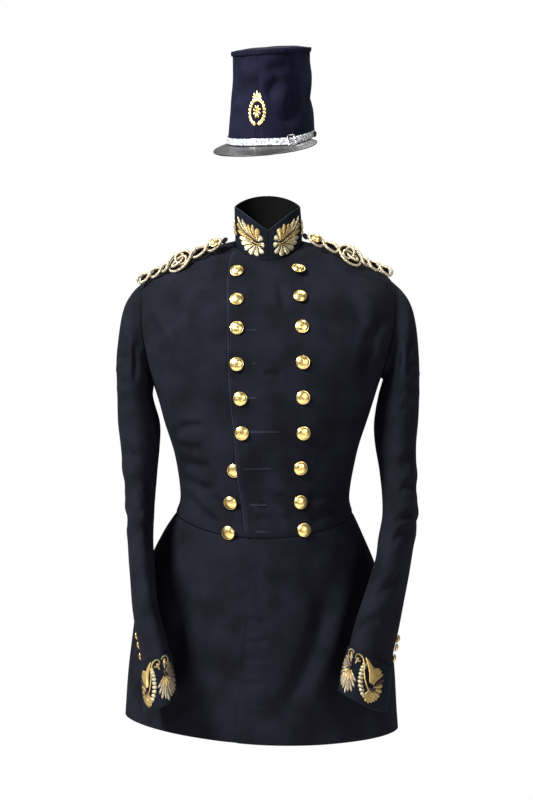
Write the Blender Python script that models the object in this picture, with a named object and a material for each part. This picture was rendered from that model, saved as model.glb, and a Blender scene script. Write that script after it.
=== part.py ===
import math

import bmesh
import bpy
import numpy as np

# Officer's double-breasted frock coat with its peaked shako above it.
# Sizes are in millimetres until a mesh is made. Front is -Y, up is +Z, the wearer's left is +X.
# The origin is the middle of the neck, at the base of the collar.

MM = 0.001
CLOTH = 2.0          # thickness of the coat's wool
SEAM = 0.34          # gap between two pieces that are sewn edge to edge
LAP = 1.4            # how far each front leaves the common form where the fronts overlap
LAP_FLAT_X = 85.0    # the over front lies raised as far as this from the middle
LAP_DONE_X = 125.0
ARM_STEPS = 8        # rows of cloth beside half of an armhole

for old in list(bpy.data.objects):
    bpy.data.objects.remove(old, do_unlink=True)

uniform = bpy.data.collections.new("military_officer_uniform")
bpy.context.scene.collection.children.link(uniform)


def look(name, colour, metallic, roughness):
    made = bpy.data.materials.new(name)
    made.use_nodes = True
    shader = made.node_tree.nodes["Principled BSDF"]
    shader.inputs["Base Color"].default_value = (*colour, 1.0)
    shader.inputs["Metallic"].default_value = metallic
    shader.inputs["Roughness"].default_value = roughness
    return made


wool = look("navy_wool", (0.010, 0.012, 0.022), 0.0, 0.85)
collar_cloth = look("blue_black_velvet", (0.012, 0.018, 0.030), 0.0, 0.90)
shako_cloth = look("dark_blue_felt", (0.012, 0.013, 0.040), 0.0, 0.85)
gilt = look("gilt_metal", (0.80, 0.52, 0.16), 1.0, 0.30)
bullion = look("gold_bullion", (0.50, 0.38, 0.20), 0.9, 0.45)
patent = look("patent_leather", (0.010, 0.010, 0.011), 0.0, 0.12)
tan_leather = look("tan_leather", (0.30, 0.16, 0.07), 0.0, 0.60)


def eased(values, place):
    # a smooth value through a column of a table, at a place counted in rows
    at = int(min(max(math.floor(place), 0), len(values) - 2))
    f = min(max(place - at, -0.2), 1.2)
    low, high = values[at], values[at + 1]
    rise = high - low
    leave = (high - values[at - 1]) / 2 if at > 0 else rise
    reach = (values[at + 2] - low) / 2 if at + 2 < len(values) else rise
    return (
        (2 * f**3 - 3 * f**2 + 1) * low
        + (f**3 - 2 * f**2 + f) * leave
        + (3 * f**2 - 2 * f**3) * high
        + (f**3 - f**2) * reach
    )


def step(value, start, end):
    # 0 before start, 1 after end, smooth between
    f = min(max((value - start) / (end - start), 0.0), 1.0)
    return f * f * (3 - 2 * f)


def power(value, exponent):
    return math.copysign(abs(value) ** exponent, value)


def unit(vector):
    return vector / max(np.linalg.norm(vector), 1e-9)


def add_mesh(name, points, faces, material):
    mesh = bpy.data.meshes.new(name)
    mesh.from_pydata([tuple(p * MM) for p in points], [], faces)
    shaped = bmesh.new()
    shaped.from_mesh(mesh)
    bmesh.ops.remove_doubles(shaped, verts=shaped.verts, dist=1e-7)
    bmesh.ops.recalc_face_normals(shaped, faces=shaped.faces)
    shaped.to_mesh(mesh)
    shaped.free()
    mesh.shade_smooth()
    mesh.materials.append(material)
    piece = bpy.data.objects.new(name, mesh)
    uniform.objects.link(piece)
    return piece


def add_wall(name, outer, inner, material, round_piece=False):
    # a sheet of cloth between an outer and an inner grid of points, closed along its edges
    rows, columns = len(outer), len(outer[0])
    points = [p for line in outer for p in line] + [p for line in inner for p in line]
    under = rows * columns
    faces = []
    spans = columns if round_piece else columns - 1
    for r in range(rows - 1):
        for c in range(spans):
            a, b = r * columns + c, r * columns + (c + 1) % columns
            d, e = a + columns, b + columns
            faces.append((a, b, e, d))
            faces.append((under + a, under + d, under + e, under + b))
    for r in (0, rows - 1):
        for c in range(spans):
            a, b = r * columns + c, r * columns + (c + 1) % columns
            faces.append((a, under + a, under + b, b))
    if not round_piece:
        for c in (0, columns - 1):
            for r in range(rows - 1):
                a = r * columns + c
                faces.append((a, a + columns, under + a + columns, under + a))
    return add_mesh(name, points, faces, material)


def skin(surface, row, angle, lift):
    # a point of a form, moved out by lift along the form's own normal
    e = 0.02
    here = surface(row, angle)
    down = surface(row + e, angle) - surface(row - e, angle)
    across = surface(row, angle + 40 * e) - surface(row, angle - 40 * e)
    return here + unit(np.cross(down, across)) * lift


# The body of the coat: rings from the neck seam (row 0) to the waist seam (row 13).
# side, front, back: heights of the ring; wide, fore, aft: half width and the depths before and behind the middle
# square: 2 is an oval, more is boxier; shift: sideways place of the middle; lap: sideways place of the over front's edge
BODY_COLUMNS = ("side", "front", "back", "wide", "fore", "aft", "square", "shift", "lap")
BODY_ROWS = (
    (6, -31, 24, 58, 60, 52, 2.00, 1, -50),
    (2, -44, 16, 84, 69, 62, 1.95, 1, -60),
    (-12, -62, 0, 122, 80, 76, 1.95, 0, -64),
    (-33, -86, -22, 165, 93, 92, 2.05, 0, -64.5),
    (-54, -112, -50, 201, 106, 106, 2.20, 0, -64),
    (-92, -142, -88, 212, 116, 116, 2.40, 0, -63.5),
    (-136, -176, -134, 213, 124, 121, 2.50, -1, -63),
    (-178, -210, -176, 204, 128, 121, 2.50, -2, -62),
    (-216, -240, -212, 189, 130, 118, 2.50, -3, -60),
    (-252, -268, -248, 177, 130, 113, 2.50, -3, -58),
    (-290, -302, -284, 166, 129, 107, 2.40, -4, -54),
    (-345, -355, -330, 149, 125, 99, 2.30, -4, -48.5),
    (-409, -414, -390, 139, 122, 94, 2.20, -5, -41.5),
    (-438, -471, -424, 145, 128, 98, 2.10, -6, -34.5),
)
BODY = {name: column for name, column in zip(BODY_COLUMNS, zip(*BODY_ROWS))}
BODY["hidden"] = 58.0
SHOULDER_ROW, UNDERARM_ROW, WAIST_ROW = 4.0, 8.0, 13.0

# The skirt: rings from the waist seam (row 0) to the hem (row 5); tilt: how much the ring drops towards the wearer's left.
SKIRT_COLUMNS = ("side", "front", "back", "wide", "fore", "aft", "square", "shift", "lap", "tilt", "flare")
SKIRT_ROWS = (
    (-438, -471, -424, 145, 128, 98, 2.10, -6, -28, 0.00, 0),
    (-474, -508, -466, 165, 134, 114, 1.95, -9, -28, 0.00, 2),
    (-526, -562, -518, 188, 140, 132, 1.85, -10, -29, -0.01, 7),
    (-592, -628, -584, 206, 146, 147, 1.80, -10, -35, -0.02, 13),
    (-676, -706, -662, 217, 150, 158, 1.80, -10, -43, -0.035, 19),
    (-782, -790, -756, 225, 154, 166, 1.80, -10, -48, -0.05, 24),
)
SKIRT = {name: column for name, column in zip(SKIRT_COLUMNS, zip(*SKIRT_ROWS))}
SKIRT["hidden"] = 40.0
SKIRT_LINES = (0, 0.6, 1.2, 2, 2.8, 3.6, 4.4, 5)
PLEAT_ANGLES = (86, 93, 100)     # where the front skirt lies over the back skirt


def ring_point(table, row, angle, back_square, drop):
    # a point of a ring; the angle is 0 at the front, 90 at the wearer's left side and 180 at the back
    s, c = math.sin(math.radians(angle)), math.cos(math.radians(angle))
    square = eased(table["square"], row) if c > 0 else back_square
    depth = eased(table["fore"], row) if c > 0 else eased(table["aft"], row)
    end = eased(table["front"], row) if c > 0 else eased(table["back"], row)
    side = eased(table["side"], row)
    x = eased(table["wide"], row) * power(s, 2 / square)
    tilt = eased(table["tilt"], row) if "tilt" in table else 0.0
    return np.array((
        x + eased(table["shift"], row),
        -depth * power(c, 2 / square),
        side + (end - side) * abs(c) ** drop + tilt * x,
    ))


def body_point(row, angle):
    return ring_point(BODY, row, angle, eased(BODY["square"], row), 1.5)


def skirt_point(row, angle):
    return ring_point(SKIRT, row, angle, eased(SKIRT["square"], row), 1.5)


def angle_at(table, row, x):
    # the angle of a ring where it stands at sideways place x, on the front
    share = (x - eased(table["shift"], row)) / eased(table["wide"], row)
    share = min(max(share, -0.995), 0.995)
    return math.degrees(math.asin(power(share, eased(table["square"], row) / 2)))


def nudge(surface, row, angle, distance):
    # the angle that is this many millimetres further round the ring
    per_degree = np.linalg.norm(surface(row, angle + 0.5) - surface(row, angle - 0.5))
    return angle + distance / per_degree


def armhole_rows():
    return [6.0 - 2.0 * math.cos(math.pi * i / ARM_STEPS) for i in range(ARM_STEPS + 1)]


def armhole_middle(row):
    return 100.0 - 10.0 * (row - SHOULDER_ROW) / 4.0


def armhole_half(row):
    return 25.0 * math.sqrt(max(0.0, 1.0 - ((row - 6.0) / 2.0) ** 2))


def front_bound(row):
    # the outer edge of a front: shoulder seam, armhole, side seam
    if row <= SHOULDER_ROW:
        return 100.0
    if row < UNDERARM_ROW:
        return armhole_middle(row) - armhole_half(row)
    return 90.0


BACK_SEAM_TOP = armhole_rows()[6]
BACK_SEAM = ((BACK_SEAM_TOP, 110.2), (8, 114), (9, 125), (10, 138), (11, 150), (12, 159), (13, 162))


def back_seam(row):
    rows, angles = zip(*BACK_SEAM)
    return float(np.interp(row, rows, angles))


def back_bound(row):
    if row <= SHOULDER_ROW:
        return 100.0
    if row < BACK_SEAM_TOP - 0.01:
        return armhole_middle(row) + armhole_half(row)
    return back_seam(row)


def over_lift(table, row, angle):
    # the wearer's left front lies on top; it gapes a little where its lower buttons are undone
    x = float(ring_point(table, row, angle, 2, 2)[0])
    flat = 1 - step(x, LAP_FLAT_X, LAP_DONE_X)
    flat *= 1 - step(angle, 44, 66)
    lift = LAP * flat
    if table is BODY:
        edge = eased(table["lap"], row)
        lift += 10.5 * math.exp(-((row - 11.22) / 0.46) ** 2) * (1 - step(x, edge, edge + 42))
    return lift


def under_lift(table, row, angle):
    x = float(ring_point(table, row, angle, 2, 2)[0])
    edge = eased(table["lap"], row)
    return -LAP * step(x, edge - 27, edge - 8)


def spread(start, end, count):
    return [start + (end - start) * i / count for i in range(count + 1)]


def hidden_edge(table, row):
    # the angle of the under front's edge, out of sight beneath the over front
    return angle_at(table, row, min(table["hidden"], 0.5 * eased(table["wide"], row)))


def over_angles(table, surface, row, bound, tail=()):
    edge = angle_at(table, row, eased(table["lap"], row))
    flat = min(angle_at(table, row, LAP_FLAT_X), 44)
    done = max(min(angle_at(table, row, LAP_DONE_X), 66), flat + 3)
    limit = tail[0] if tail else nudge(surface, row, bound, -SEAM / 2)
    hidden = hidden_edge(table, row)
    return spread(edge, hidden, 5) + [flat] + spread(done, limit, 3) + list(tail[1:])


def under_angles(table, surface, row, bound, tail=()):
    edge = eased(table["lap"], row)
    limit = -tail[0] if tail else nudge(surface, row, -bound, SEAM / 2)
    far = max(limit + 6, angle_at(table, row, edge - 28))
    near = max(far + 4, angle_at(table, row, edge - 7))
    first = max(near + 1, angle_at(table, row, edge))
    lead = [-a for a in reversed(tail[1:])]
    return lead + spread(limit, far, 3) + [near] + spread(first, hidden_edge(table, row), 5)


def add_panel(name, surface, rows, angles_of, lift_of, material=wool, thick=CLOTH, drop=0.0):
    # one cut piece: a wall between the lines that its rows and angles give
    outer, inner = [], []
    for n, row in enumerate(rows):
        down = np.array((0, 0, -drop if n == 0 else 0.0))
        line = angles_of(row)
        lifts = [lift_of(row, a) for a in line]
        outer.append([skin(surface, row, a, up) + down for a, up in zip(line, lifts)])
        inner.append([skin(surface, row, a, up - thick) + down for a, up in zip(line, lifts)])
    return add_wall(name, outer, inner, material)


# Body panels
body_rows = [0.0, 1.0, 2.0, 3.0] + armhole_rows() + [9.0, 10.0, 11.0, 12.0, 13.0]
side_rows = armhole_rows()[6:] + [9.0, 10.0, 11.0, 12.0, 13.0]

add_panel(
    "front_left", body_point, body_rows,
    lambda row: over_angles(BODY, body_point, row, front_bound(row)),
    lambda row, a: over_lift(BODY, row, a),
)
add_panel(
    "front_right", body_point, body_rows,
    lambda row: under_angles(BODY, body_point, row, front_bound(row)),
    lambda row, a: under_lift(BODY, row, a),
)

for side, label in ((1, "left"), (-1, "right")):

    def side_angles(row):
        start = 90.0 if row >= UNDERARM_ROW else armhole_middle(row) + armhole_half(row)
        start = nudge(body_point, row, start, SEAM / 2)
        end = nudge(body_point, row, back_seam(row), -SEAM / 2)
        return [side * a for a in spread(start, end, 3)]

    def back_angles(row):
        start = nudge(body_point, row, back_bound(row), SEAM / 2)
        return [side * a for a in spread(start, 180 - 0.16, 5)]

    add_panel("side_body_" + label, body_point, side_rows, side_angles, lambda row, a: 0.0)
    add_panel("back_" + label, body_point, body_rows, back_angles, lambda row, a: 0.0)

# Skirts
add_panel(
    "skirt_left", skirt_point, SKIRT_LINES,
    lambda row: over_angles(SKIRT, skirt_point, row, 0, PLEAT_ANGLES),
    lambda row, a: over_lift(SKIRT, row, a),
    drop=SEAM + 0.9,
)
add_panel(
    "skirt_right", skirt_point, SKIRT_LINES,
    lambda row: under_angles(SKIRT, skirt_point, row, 0, PLEAT_ANGLES),
    lambda row, a: under_lift(SKIRT, row, a),
    drop=SEAM + 0.9,
)


def back_skirt_lift(row, angle):
    # tucked in behind the front skirt, then sprung out behind it
    tucked = -(CLOTH + 0.9)
    return tucked + (eased(SKIRT["flare"], row) - tucked) * step(abs(angle), 100.5, 126)


for side, label in ((1, "left"), (-1, "right")):
    angles = [side * a for a in PLEAT_ANGLES + (107, 114, 122, 134, 150, 165, 179.8)]
    add_panel(
        "back_skirt_" + label, skirt_point, SKIRT_LINES,
        lambda row: angles, back_skirt_lift, drop=SEAM + 0.4,
    )

# Stand-up collar, open at the front
# vee: how far the front dips in a straight-sided V; gap: half the opening between the front ends
COLLAR_COLUMNS = ("side", "front", "back", "wide", "fore", "aft", "shift", "vee", "gap")
COLLAR_ROWS = (
    (7.5, -29.6, 25.4, 55.1, 57.0, 49.0, 1, 0.0, 1.2),
    (24, -14, 46, 55.1, 57.0, 53, 1, 0.3, 1.4),
    (44, 3, 68, 55.0, 56.8, 56, 0, 0.7, 1.8),
    (64, 20, 90, 54.4, 56.5, 59, -1, 1.0, 2.6),
)
COLLAR = {name: column for name, column in zip(COLLAR_COLUMNS, zip(*COLLAR_ROWS))}
COLLAR["square"] = (2.0,) * len(COLLAR_ROWS)


def collar_point(row, angle):
    s, c = math.sin(math.radians(angle)), math.cos(math.radians(angle))
    depth = eased(COLLAR["fore"], row) if c > 0 else eased(COLLAR["aft"], row)
    end = eased(COLLAR["front"], row) if c > 0 else eased(COLLAR["back"], row)
    vee = eased(COLLAR["vee"], row) if c > 0 else 0.0
    fall = (1 - vee) * abs(c) ** 1.3 + vee * (1 - abs(s) ** 1.1)
    side = eased(COLLAR["side"], row)
    return np.array((
        eased(COLLAR["wide"], row) * s + eased(COLLAR["shift"], row),
        -depth * c,
        side + (end - side) * fall,
    ))


def collar_angles(row):
    gap = eased(COLLAR["gap"], row)
    start = angle_at(COLLAR, row, 1 + gap)
    return [start] + [15, 30, 46, 62, 80, 100, 120, 140, 160] + [
        180, 200, 220, 240, 260, 280, 298, 314, 330, 345, 360 + angle_at(COLLAR, row, 1 - gap)]


add_panel("collar", collar_point, (0, 0.7, 1.4, 2.2, 3), collar_angles, lambda row, a: 0.0, collar_cloth)

# Sleeves: rings from the armhole (row 0) to the end. x, z, y: middle of the ring (x away from the body)
# wide, deep: half sizes sideways and front to back; lean: how much the outer side is higher; turn: degrees that
# the outer face is turned to the front; rise: how much the front side is higher, as a share of its depth
SLEEVE_COLUMNS = ("x", "z", "y", "wide", "deep", "lean", "turn", "rise")
SLEEVE_ROWS = {
    "left": (
        (196, -135, 8, 6.0, 60, 78, 0, 0.00),
        (206, -146, 7, 16.0, 63, 71, 0, 0.00),
        (213.5, -159, 5, 23.0, 66, 60, 0, 0.00),
        (217, -178, 2, 27.5, 67, 44, 0, 0.00),
        (217.5, -205, 0, 31.0, 67, 25, 0, 0.02),
        (215, -243, -2, 34.0, 66, 7, 0, 0.04),
        (211, -289, -4, 36.0, 65, 1, 0, 0.08),
        (210, -330, -8, 33.5, 63, 0, 0, 0.14),
        (212.5, -369, -16, 30.0, 61, 0, 0, 0.22),
        (214.5, -408, -29, 28.5, 59, -2, 2, 0.32),
        (213.5, -447, -48, 28.8, 57, -4, 4, 0.42),
        (205, -484, -70, 28.5, 56, -5, 6, 0.45),
        (197.5, -521, -91, 27.0, 55, -6, 9, 0.44),
        (183, -570, -116, 28.5, 53, -6, 15, 0.42),
        (172, -606, -131, 28.5, 51, -8, 22, 0.37),
        (161, -645, -146, 28.0, 49, -11, 28, 0.31),
        (146, -718, -166, 31.0, 48, -14, 30, 0.25),
    ),
    "right": (
        (196, -135, 8, 6.0, 60, 78, 0, 0.00),
        (206, -146, 7, 16.0, 63, 71, 0, 0.00),
        (213.5, -159, 5, 23.0, 66, 60, 0, 0.00),
        (217, -178, 2, 27.5, 67, 44, 0, 0.00),
        (219, -205, 0, 30.0, 67, 25, 0, 0.02),
        (219, -243, -2, 29.5, 66, 7, 0, 0.04),
        (212.5, -289, -4, 34.3, 65, 1, 0, 0.08),
        (210, -330, -8, 31.8, 63, 0, 0, 0.14),
        (209.5, -369, -16, 28.0, 61, 0, 0, 0.22),
        (208.5, -408, -29, 24.5, 60, -1, 1, 0.30),
        (207, -447, -48, 22.4, 59, -1, 2, 0.38),
        (204.5, -484, -68, 20.4, 58, -1, 3, 0.40),
        (201, -521, -90, 20.0, 57, -2, 4, 0.40),
        (195, -570, -113, 20.0, 56, -2, 6, 0.36),
        (187.5, -608, -127, 20.2, 55, -4, 8, 0.29),
        (177, -650, -138, 21.0, 53, -8, 10, 0.22),
        (166.5, -725, -158, 24.0, 52, -11, 12, 0.15),
    ),
}
SLEEVES = {
    label: {name: column for name, column in zip(SLEEVE_COLUMNS, zip(*rows))}
    for label, rows in SLEEVE_ROWS.items()
}
SLEEVE_END = 16.0
CUFF_TOP = 15.12
FADE = (1.0, 0.62, 0.30, 0.10, 0.0)      # how long the shape of the armhole carries on down the sleeve


def sleeve_oval(label, row, turn_round):
    table, side = SLEEVES[label], 1 if label == "left" else -1
    c, s = math.cos(math.radians(turn_round)), math.sin(math.radians(turn_round))
    wide, deep = eased(table["wide"], row), eased(table["deep"], row)
    turn = math.radians(eased(table["turn"], row))
    x = eased(table["x"], row) + c * wide * math.cos(turn) - s * deep * math.sin(turn)
    y = eased(table["y"], row) - c * wide * math.sin(turn) - s * deep * math.cos(turn)
    z = eased(table["z"], row) + c * eased(table["lean"], row) + s * deep * eased(table["rise"], row)
    return np.array((side * x, y, z))


def armhole_point(label, turn_round):
    # 0 is the top of the armhole, 90 its front, 180 the underarm
    side = 1 if label == "left" else -1
    c, s = math.cos(math.radians(turn_round)), math.sin(math.radians(turn_round))
    row = 6.0 - 2.0 * c
    return skin(body_point, row, side * (armhole_middle(row) - 25.0 * s), 0.45)


def sleeve_point(label, row, turn_round):
    fade = float(np.interp(row, range(len(FADE)), FADE))
    point = sleeve_oval(label, row, turn_round)
    if fade > 0:
        point = point + fade * (armhole_point(label, turn_round) - sleeve_oval(label, 0, turn_round))
    return point


def sleeve_skin(label, row, turn_round, lift):
    e = 0.05
    here = sleeve_point(label, row, turn_round)
    down = sleeve_point(label, min(row + e, SLEEVE_END), turn_round) - sleeve_point(label, max(row - e, 0), turn_round)
    across = sleeve_point(label, row, turn_round + 2) - sleeve_point(label, row, turn_round - 2)
    side = 1 if label == "left" else -1
    return here + unit(np.cross(across, down)) * lift * side


def hind_seam(row):
    return -67.5 + 27.5 * step(row, 0, 7)


def fore_seam(row):
    return 112.5 + 37.5 * step(row, 0, 7)


sleeve_lines = [0, 0.6, 1.2, 2, 3, 4, 5, 6, 7, 8, 9, 10, 11, 12, 13, 14, CUFF_TOP, 15.55, 16]


def sleeve_turns(kind, row):
    start, end = hind_seam(row), fore_seam(row)
    if kind == "under":
        start, end = end, hind_seam(row) + 360
    gap = math.degrees(SEAM / 2 / 45)
    return spread(start + gap, end - gap, 8)


for label in ("left", "right"):
    for kind in ("top", "under"):
        outer, inner = [], []
        for row in sleeve_lines:
            turns = sleeve_turns(kind, row)
            outer.append([sleeve_skin(label, row, t, 0) for t in turns])
            inner.append([sleeve_skin(label, row, t, -CLOTH) for t in turns])
        add_wall("sleeve_" + kind + "_" + label, outer, inner, wool)

    # turned-up cuff round the end of the sleeve
    turns = spread(hind_seam(16), fore_seam(16), 8)[:-1] + spread(fore_seam(16), hind_seam(16) + 360, 8)[:-1]
    cuff_rows = (CUFF_TOP, 15.55, 16.0)
    outer = [[sleeve_skin(label, row, t, CLOTH + 0.7) for t in turns] for row in cuff_rows]
    inner = [[sleeve_skin(label, row, t, 0.7) for t in turns] for row in cuff_rows]
    add_wall("cuff_" + label, outer, inner, collar_cloth, round_piece=True)


# Domed buttons: shares of the radius and of the height, from the back edge to the crest
BUTTON_PROFILE = ((0.88, 0.0), (1.0, 0.30), (0.62, 0.86))


def add_button(name, centre, normal, radius, height, material=gilt, sides=12, squash=1.0):
    normal = unit(normal)
    across = unit(np.cross(normal, (0.0, 0.13, 1.0)))
    up = np.cross(across, normal)
    points = []
    for share, level in BUTTON_PROFILE:
        for i in range(sides):
            turn = 2 * math.pi * i / sides
            ring = across * math.cos(turn) + up * math.sin(turn) * squash
            points.append(centre + ring * radius * share + normal * height * level)
    crest = len(points)
    points.append(centre + normal * height)
    faces = [tuple(range(sides))]
    for ring in range(len(BUTTON_PROFILE) - 1):
        for i in range(sides):
            a, b = ring * sides + i, ring * sides + (i + 1) % sides
            faces.append((a, b, b + sides, a + sides))
    last = crest - sides
    faces += [(last + i, last + (i + 1) % sides, crest) for i in range(sides)]
    return add_mesh(name, points, faces, material)


# Front buttons: sideways place and height of each, and how far it is tipped sideways and down
BUTTON_RADIUS, BUTTON_HEIGHT = 11.0, 6.2
FRONT_BUTTONS = {
    "left": (
        (48, -46, 0.10, -0.45), (50.5, -91, 0.05, -0.15), (53.5, -139, 0, 0), (54.5, -195, 0, 0), (54.5, -250, 0, 0),
        (55, -306, 0, 0), (50.5, -361, 0, 0), (50, -415, 0.06, 0), (55.5, -459, 0, 0),
    ),
    "right": (
        (-50, -48, 0, 0), (-49.5, -95, 0, 0), (-49, -141, 0, 0), (-49, -198, 0, 0), (-43.5, -252, 0, 0),
        (-41, -306, 0, 0), (-53.5, -365, -0.08, 0.12), (-58.5, -416, -0.12, 0.30), (-61.5, -463, -0.12, 0.25),
    ),
}


def find_row(table, surface, x, z, last):
    # the row whose ring passes through this place on the front
    low, high = 0.0, last
    for _ in range(40):
        middle = (low + high) / 2
        if surface(middle, angle_at(table, middle, x))[2] > z:
            low = middle
        else:
            high = middle
    return (low + high) / 2


for label, places in FRONT_BUTTONS.items():
    for n, (x, z, tip_side, tip_down) in enumerate(places):
        row = find_row(BODY, body_point, x, z, WAIST_ROW)
        angle = angle_at(BODY, row, x)
        on_top = label == "left" or n < 6
        lift = over_lift(BODY, row, angle) if on_top else under_lift(BODY, row, angle)
        foot = skin(body_point, row, angle, lift)
        normal = unit(skin(body_point, row, angle, lift + 1) - foot)
        tipped = unit(normal + np.array((tip_side, 0, -tip_down)))
        stand = 0.62 + BUTTON_RADIUS * 0.88 * float(np.linalg.norm(tipped - normal))
        stand += {("right", 5): 0.8, ("right", 8): -0.9, ("left", 0): -0.15}.get((label, n), 0)
        add_button(
            "button_%s_%d" % (label, n + 1), foot + normal * stand, tipped, BUTTON_RADIUS, BUTTON_HEIGHT,
        )

# Three small buttons along the hind seam above each cuff, the lowest on the cuff's top edge
for label in ("left", "right"):
    for n, row in enumerate((14.18, 14.55, 14.92)):
        foot = sleeve_skin(label, row, hind_seam(row), 1.0)
        normal = sleeve_skin(label, row, hind_seam(row), 2) - foot
        add_button("cuff_button_%s_%d" % (label, n + 1), foot, normal, 6.6, 4.6, sides=10)


# Shoulder cords: a chain of loops woven from one closed cord, standing a little off the shoulder
CORD_RADIUS = 2.4
CORD_TILT = math.radians(62)
CORD_TOP = 40.6
# for each side: how far the chain is moved outwards, its place from front to back, and its slope
CORD_SIDES = {1: (-10.0, -30.0, 0.433), -1: (0.0, -34.0, 0.472)}
# loops from the neck outwards: where each ends along the cord, and its half width
CORD_LOOPS = ((76, 0), (100, 9.4), (125, 7.6), (163, 17.0), (174, 6.0), (192, 7.4), (212, 7.0))


def cord_point(side, along, aside, level):
    shift, ahead, slope = CORD_SIDES[side]
    along = along + shift
    lean = unit(np.array((1.0, 0.0, -slope)))
    fall = np.array((0.0, -math.cos(CORD_TILT), -math.sin(CORD_TILT)))
    middle = np.array((along, ahead, CORD_TOP - slope * along))
    up = np.cross(fall, lean)
    up = up if up[2] > 0 else -up
    point = middle + fall * aside + up * level
    return np.array((side * point[0], point[1], point[2]))


def cord_path():
    # along, aside and level of one strand from the neck to the last loop
    strand = []
    for n in range(1, len(CORD_LOOPS)):
        start, half = CORD_LOOPS[n - 1][0], CORD_LOOPS[n][1]
        end = CORD_LOOPS[n][0]
        side = 1 if n % 2 else -1
        steps = 9 if half > 10 else 6
        for i in range(steps):
            f = (i + 0.5) / steps
            along = start + (end - start) * (f - 0.06 * math.sin(2 * math.pi * f))
            bulge = math.sin(math.pi * f) ** 0.8
            strand.append((along, side * half * bulge, side * 3.0 * math.cos(math.pi * f)))
    return strand


def add_tube(name, path, radius, sides, material):
    # a closed round cord along a closed path
    count = len(path)
    points = []
    normal = None
    for i, here in enumerate(path):
        ahead = unit(path[(i + 1) % count] - path[i - 1])
        if normal is None:
            normal = unit(np.cross(ahead, (0.0, -0.6, 0.8)))
        normal = unit(normal - ahead * float(np.dot(normal, ahead)))
        other = np.cross(ahead, normal)
        for k in range(sides):
            turn = 2 * math.pi * k / sides
            points.append(here + radius * (normal * math.cos(turn) + other * math.sin(turn)))
    # the last ring meets the first one with as little twist as the sides allow
    first, last = points[:sides], points[-sides:]
    twist = min(range(sides), key=lambda t: sum(np.linalg.norm(last[k] - first[(k + t) % sides]) for k in range(sides)))
    faces = []
    for i in range(count):
        shift = twist if i == count - 1 else 0
        a, b = i * sides, ((i + 1) % count) * sides
        for k in range(sides):
            faces.append((a + k, a + (k + 1) % sides, b + (k + 1 + shift) % sides, b + (k + shift) % sides))
    return add_mesh(name, points, faces, material)


for side, label in ((1, "left"), (-1, "right")):
    strand = cord_path()
    path = [cord_point(side, *p) for p in strand]
    path += [cord_point(side, along, -aside, -level) for along, aside, level in reversed(strand)]
    add_tube("shoulder_cord_" + label, path, CORD_RADIUS, 6, bullion)
    # the button that the first loop is hooked over
    foot = cord_point(side, 87.5, 0, CORD_RADIUS + 1.8)
    normal = cord_point(side, 87.5, 0, 9) - foot
    add_button("shoulder_button_" + label, foot, normal, 7.6, 5.6, sides=10)


# Raised gold embroidery: a plate with a lobed edge round its roots, laid on the cloth.
# Each lobe: its root, its angle, its length and half its breadth in degrees; 0 is towards +u, 90 is up
COLLAR_ROOTS = ((0, 0),)
COLLAR_LOBES = (
    (0, -172, 34, 8), (0, -148, 30, 10), (0, -123, 28, 10), (0, -93, 28, 11), (0, -62, 25, 11), (0, -30, 17, 13),
    (0, 24, 14, 15), (0, 62, 17, 9), (0, 86, 21, 9), (0, 107, 29, 8), (0, 122, 43, 6), (0, 134, 60, 5),
    (0, 145, 50, 5), (0, 156, 43, 5), (0, 168, 36, 6),
)
# two leaves side by side on a cuff, joined over its front fold; u is measured towards the hind seam
CUFF_ROOTS = ((40, -3), (20, 0), (9, 0), (0, 1), (-8, 2), (-24, 5))
CUFF_LOBES = (
    (1, -112, 20, 12), (0, -116, 25, 9), (0, -92, 26, 9), (0, -68, 24, 9), (0, -42, 21, 10), (0, -14, 19, 11),
    (0, 14, 20, 11), (0, 40, 24, 9), (0, 62, 28, 8), (0, 82, 30, 7), (0, 102, 29, 7),
    (1, 80, 25, 10), (1, 104, 26, 8), (2, 88, 25, 9), (3, 92, 24, 8), (4, 92, 23, 9),
    (5, 74, 24, 9), (5, 98, 25, 9), (5, 122, 24, 9), (5, 148, 22, 10), (5, 174, 21, 10),
    (5, -158, 22, 10), (5, -132, 25, 9), (5, -108, 27, 8), (5, -84, 27, 8),
    (4, -88, 25, 9), (3, -90, 23, 8), (2, -90, 22, 9), (1, -84, 21, 10),
)


def add_lobed(name, place, lobes, roots, base, thick, material):
    # place(u, v, lift) gives the point of the cloth that is u along and v up from the plate's middle
    outline = []
    for root, angle, length, half in lobes:
        for turn, reach in ((-half * 1.05, 0.55), (-half * 0.5, 0.95), (half * 0.5, 0.95)):
            around = math.radians(angle + turn)
            outline.append((root, length * reach * math.cos(around), length * reach * math.sin(around)))
    count = len(outline)
    rings = ((0.3, 0), (0.64, 0), (1, 0), (0.97, 0.6), (0.64, 0.9), (0.3, 1))
    points = []
    for share, level in rings:
        for root, u, v in outline:
            points.append(place(roots[root][0] + u * share, roots[root][1] + v * share, base + thick * level))
    middle = len(points)
    points += [place(u, v, base) for u, v in roots] + [place(u, v, base + thick) for u, v in roots]
    faces = []
    last = (len(rings) - 1) * count
    for i in range(count):
        j = (i + 1) % count
        for ring in range(len(rings) - 1):
            a = ring * count
            faces.append((a + i, a + j, a + count + j, a + count + i))
        here, there = middle + outline[i][0], middle + outline[j][0]
        over, beyond = here + len(roots), there + len(roots)
        faces.append((j, i, here) if here == there else (j, i, here, there))
        faces.append((last + i, last + j, beyond) if here == there else (last + i, last + j, beyond, over))
    return add_mesh(name, points, faces, material)


def collar_place(side, along, height, lift):
    # along runs from the front edge round the collar, height is above the collar's seam
    row = 3.0 * height / (52.0 + 14.0 * min(along / 55.0, 1.3))
    return skin(collar_point, row, side * math.degrees(along / 56.0), lift)


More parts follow.
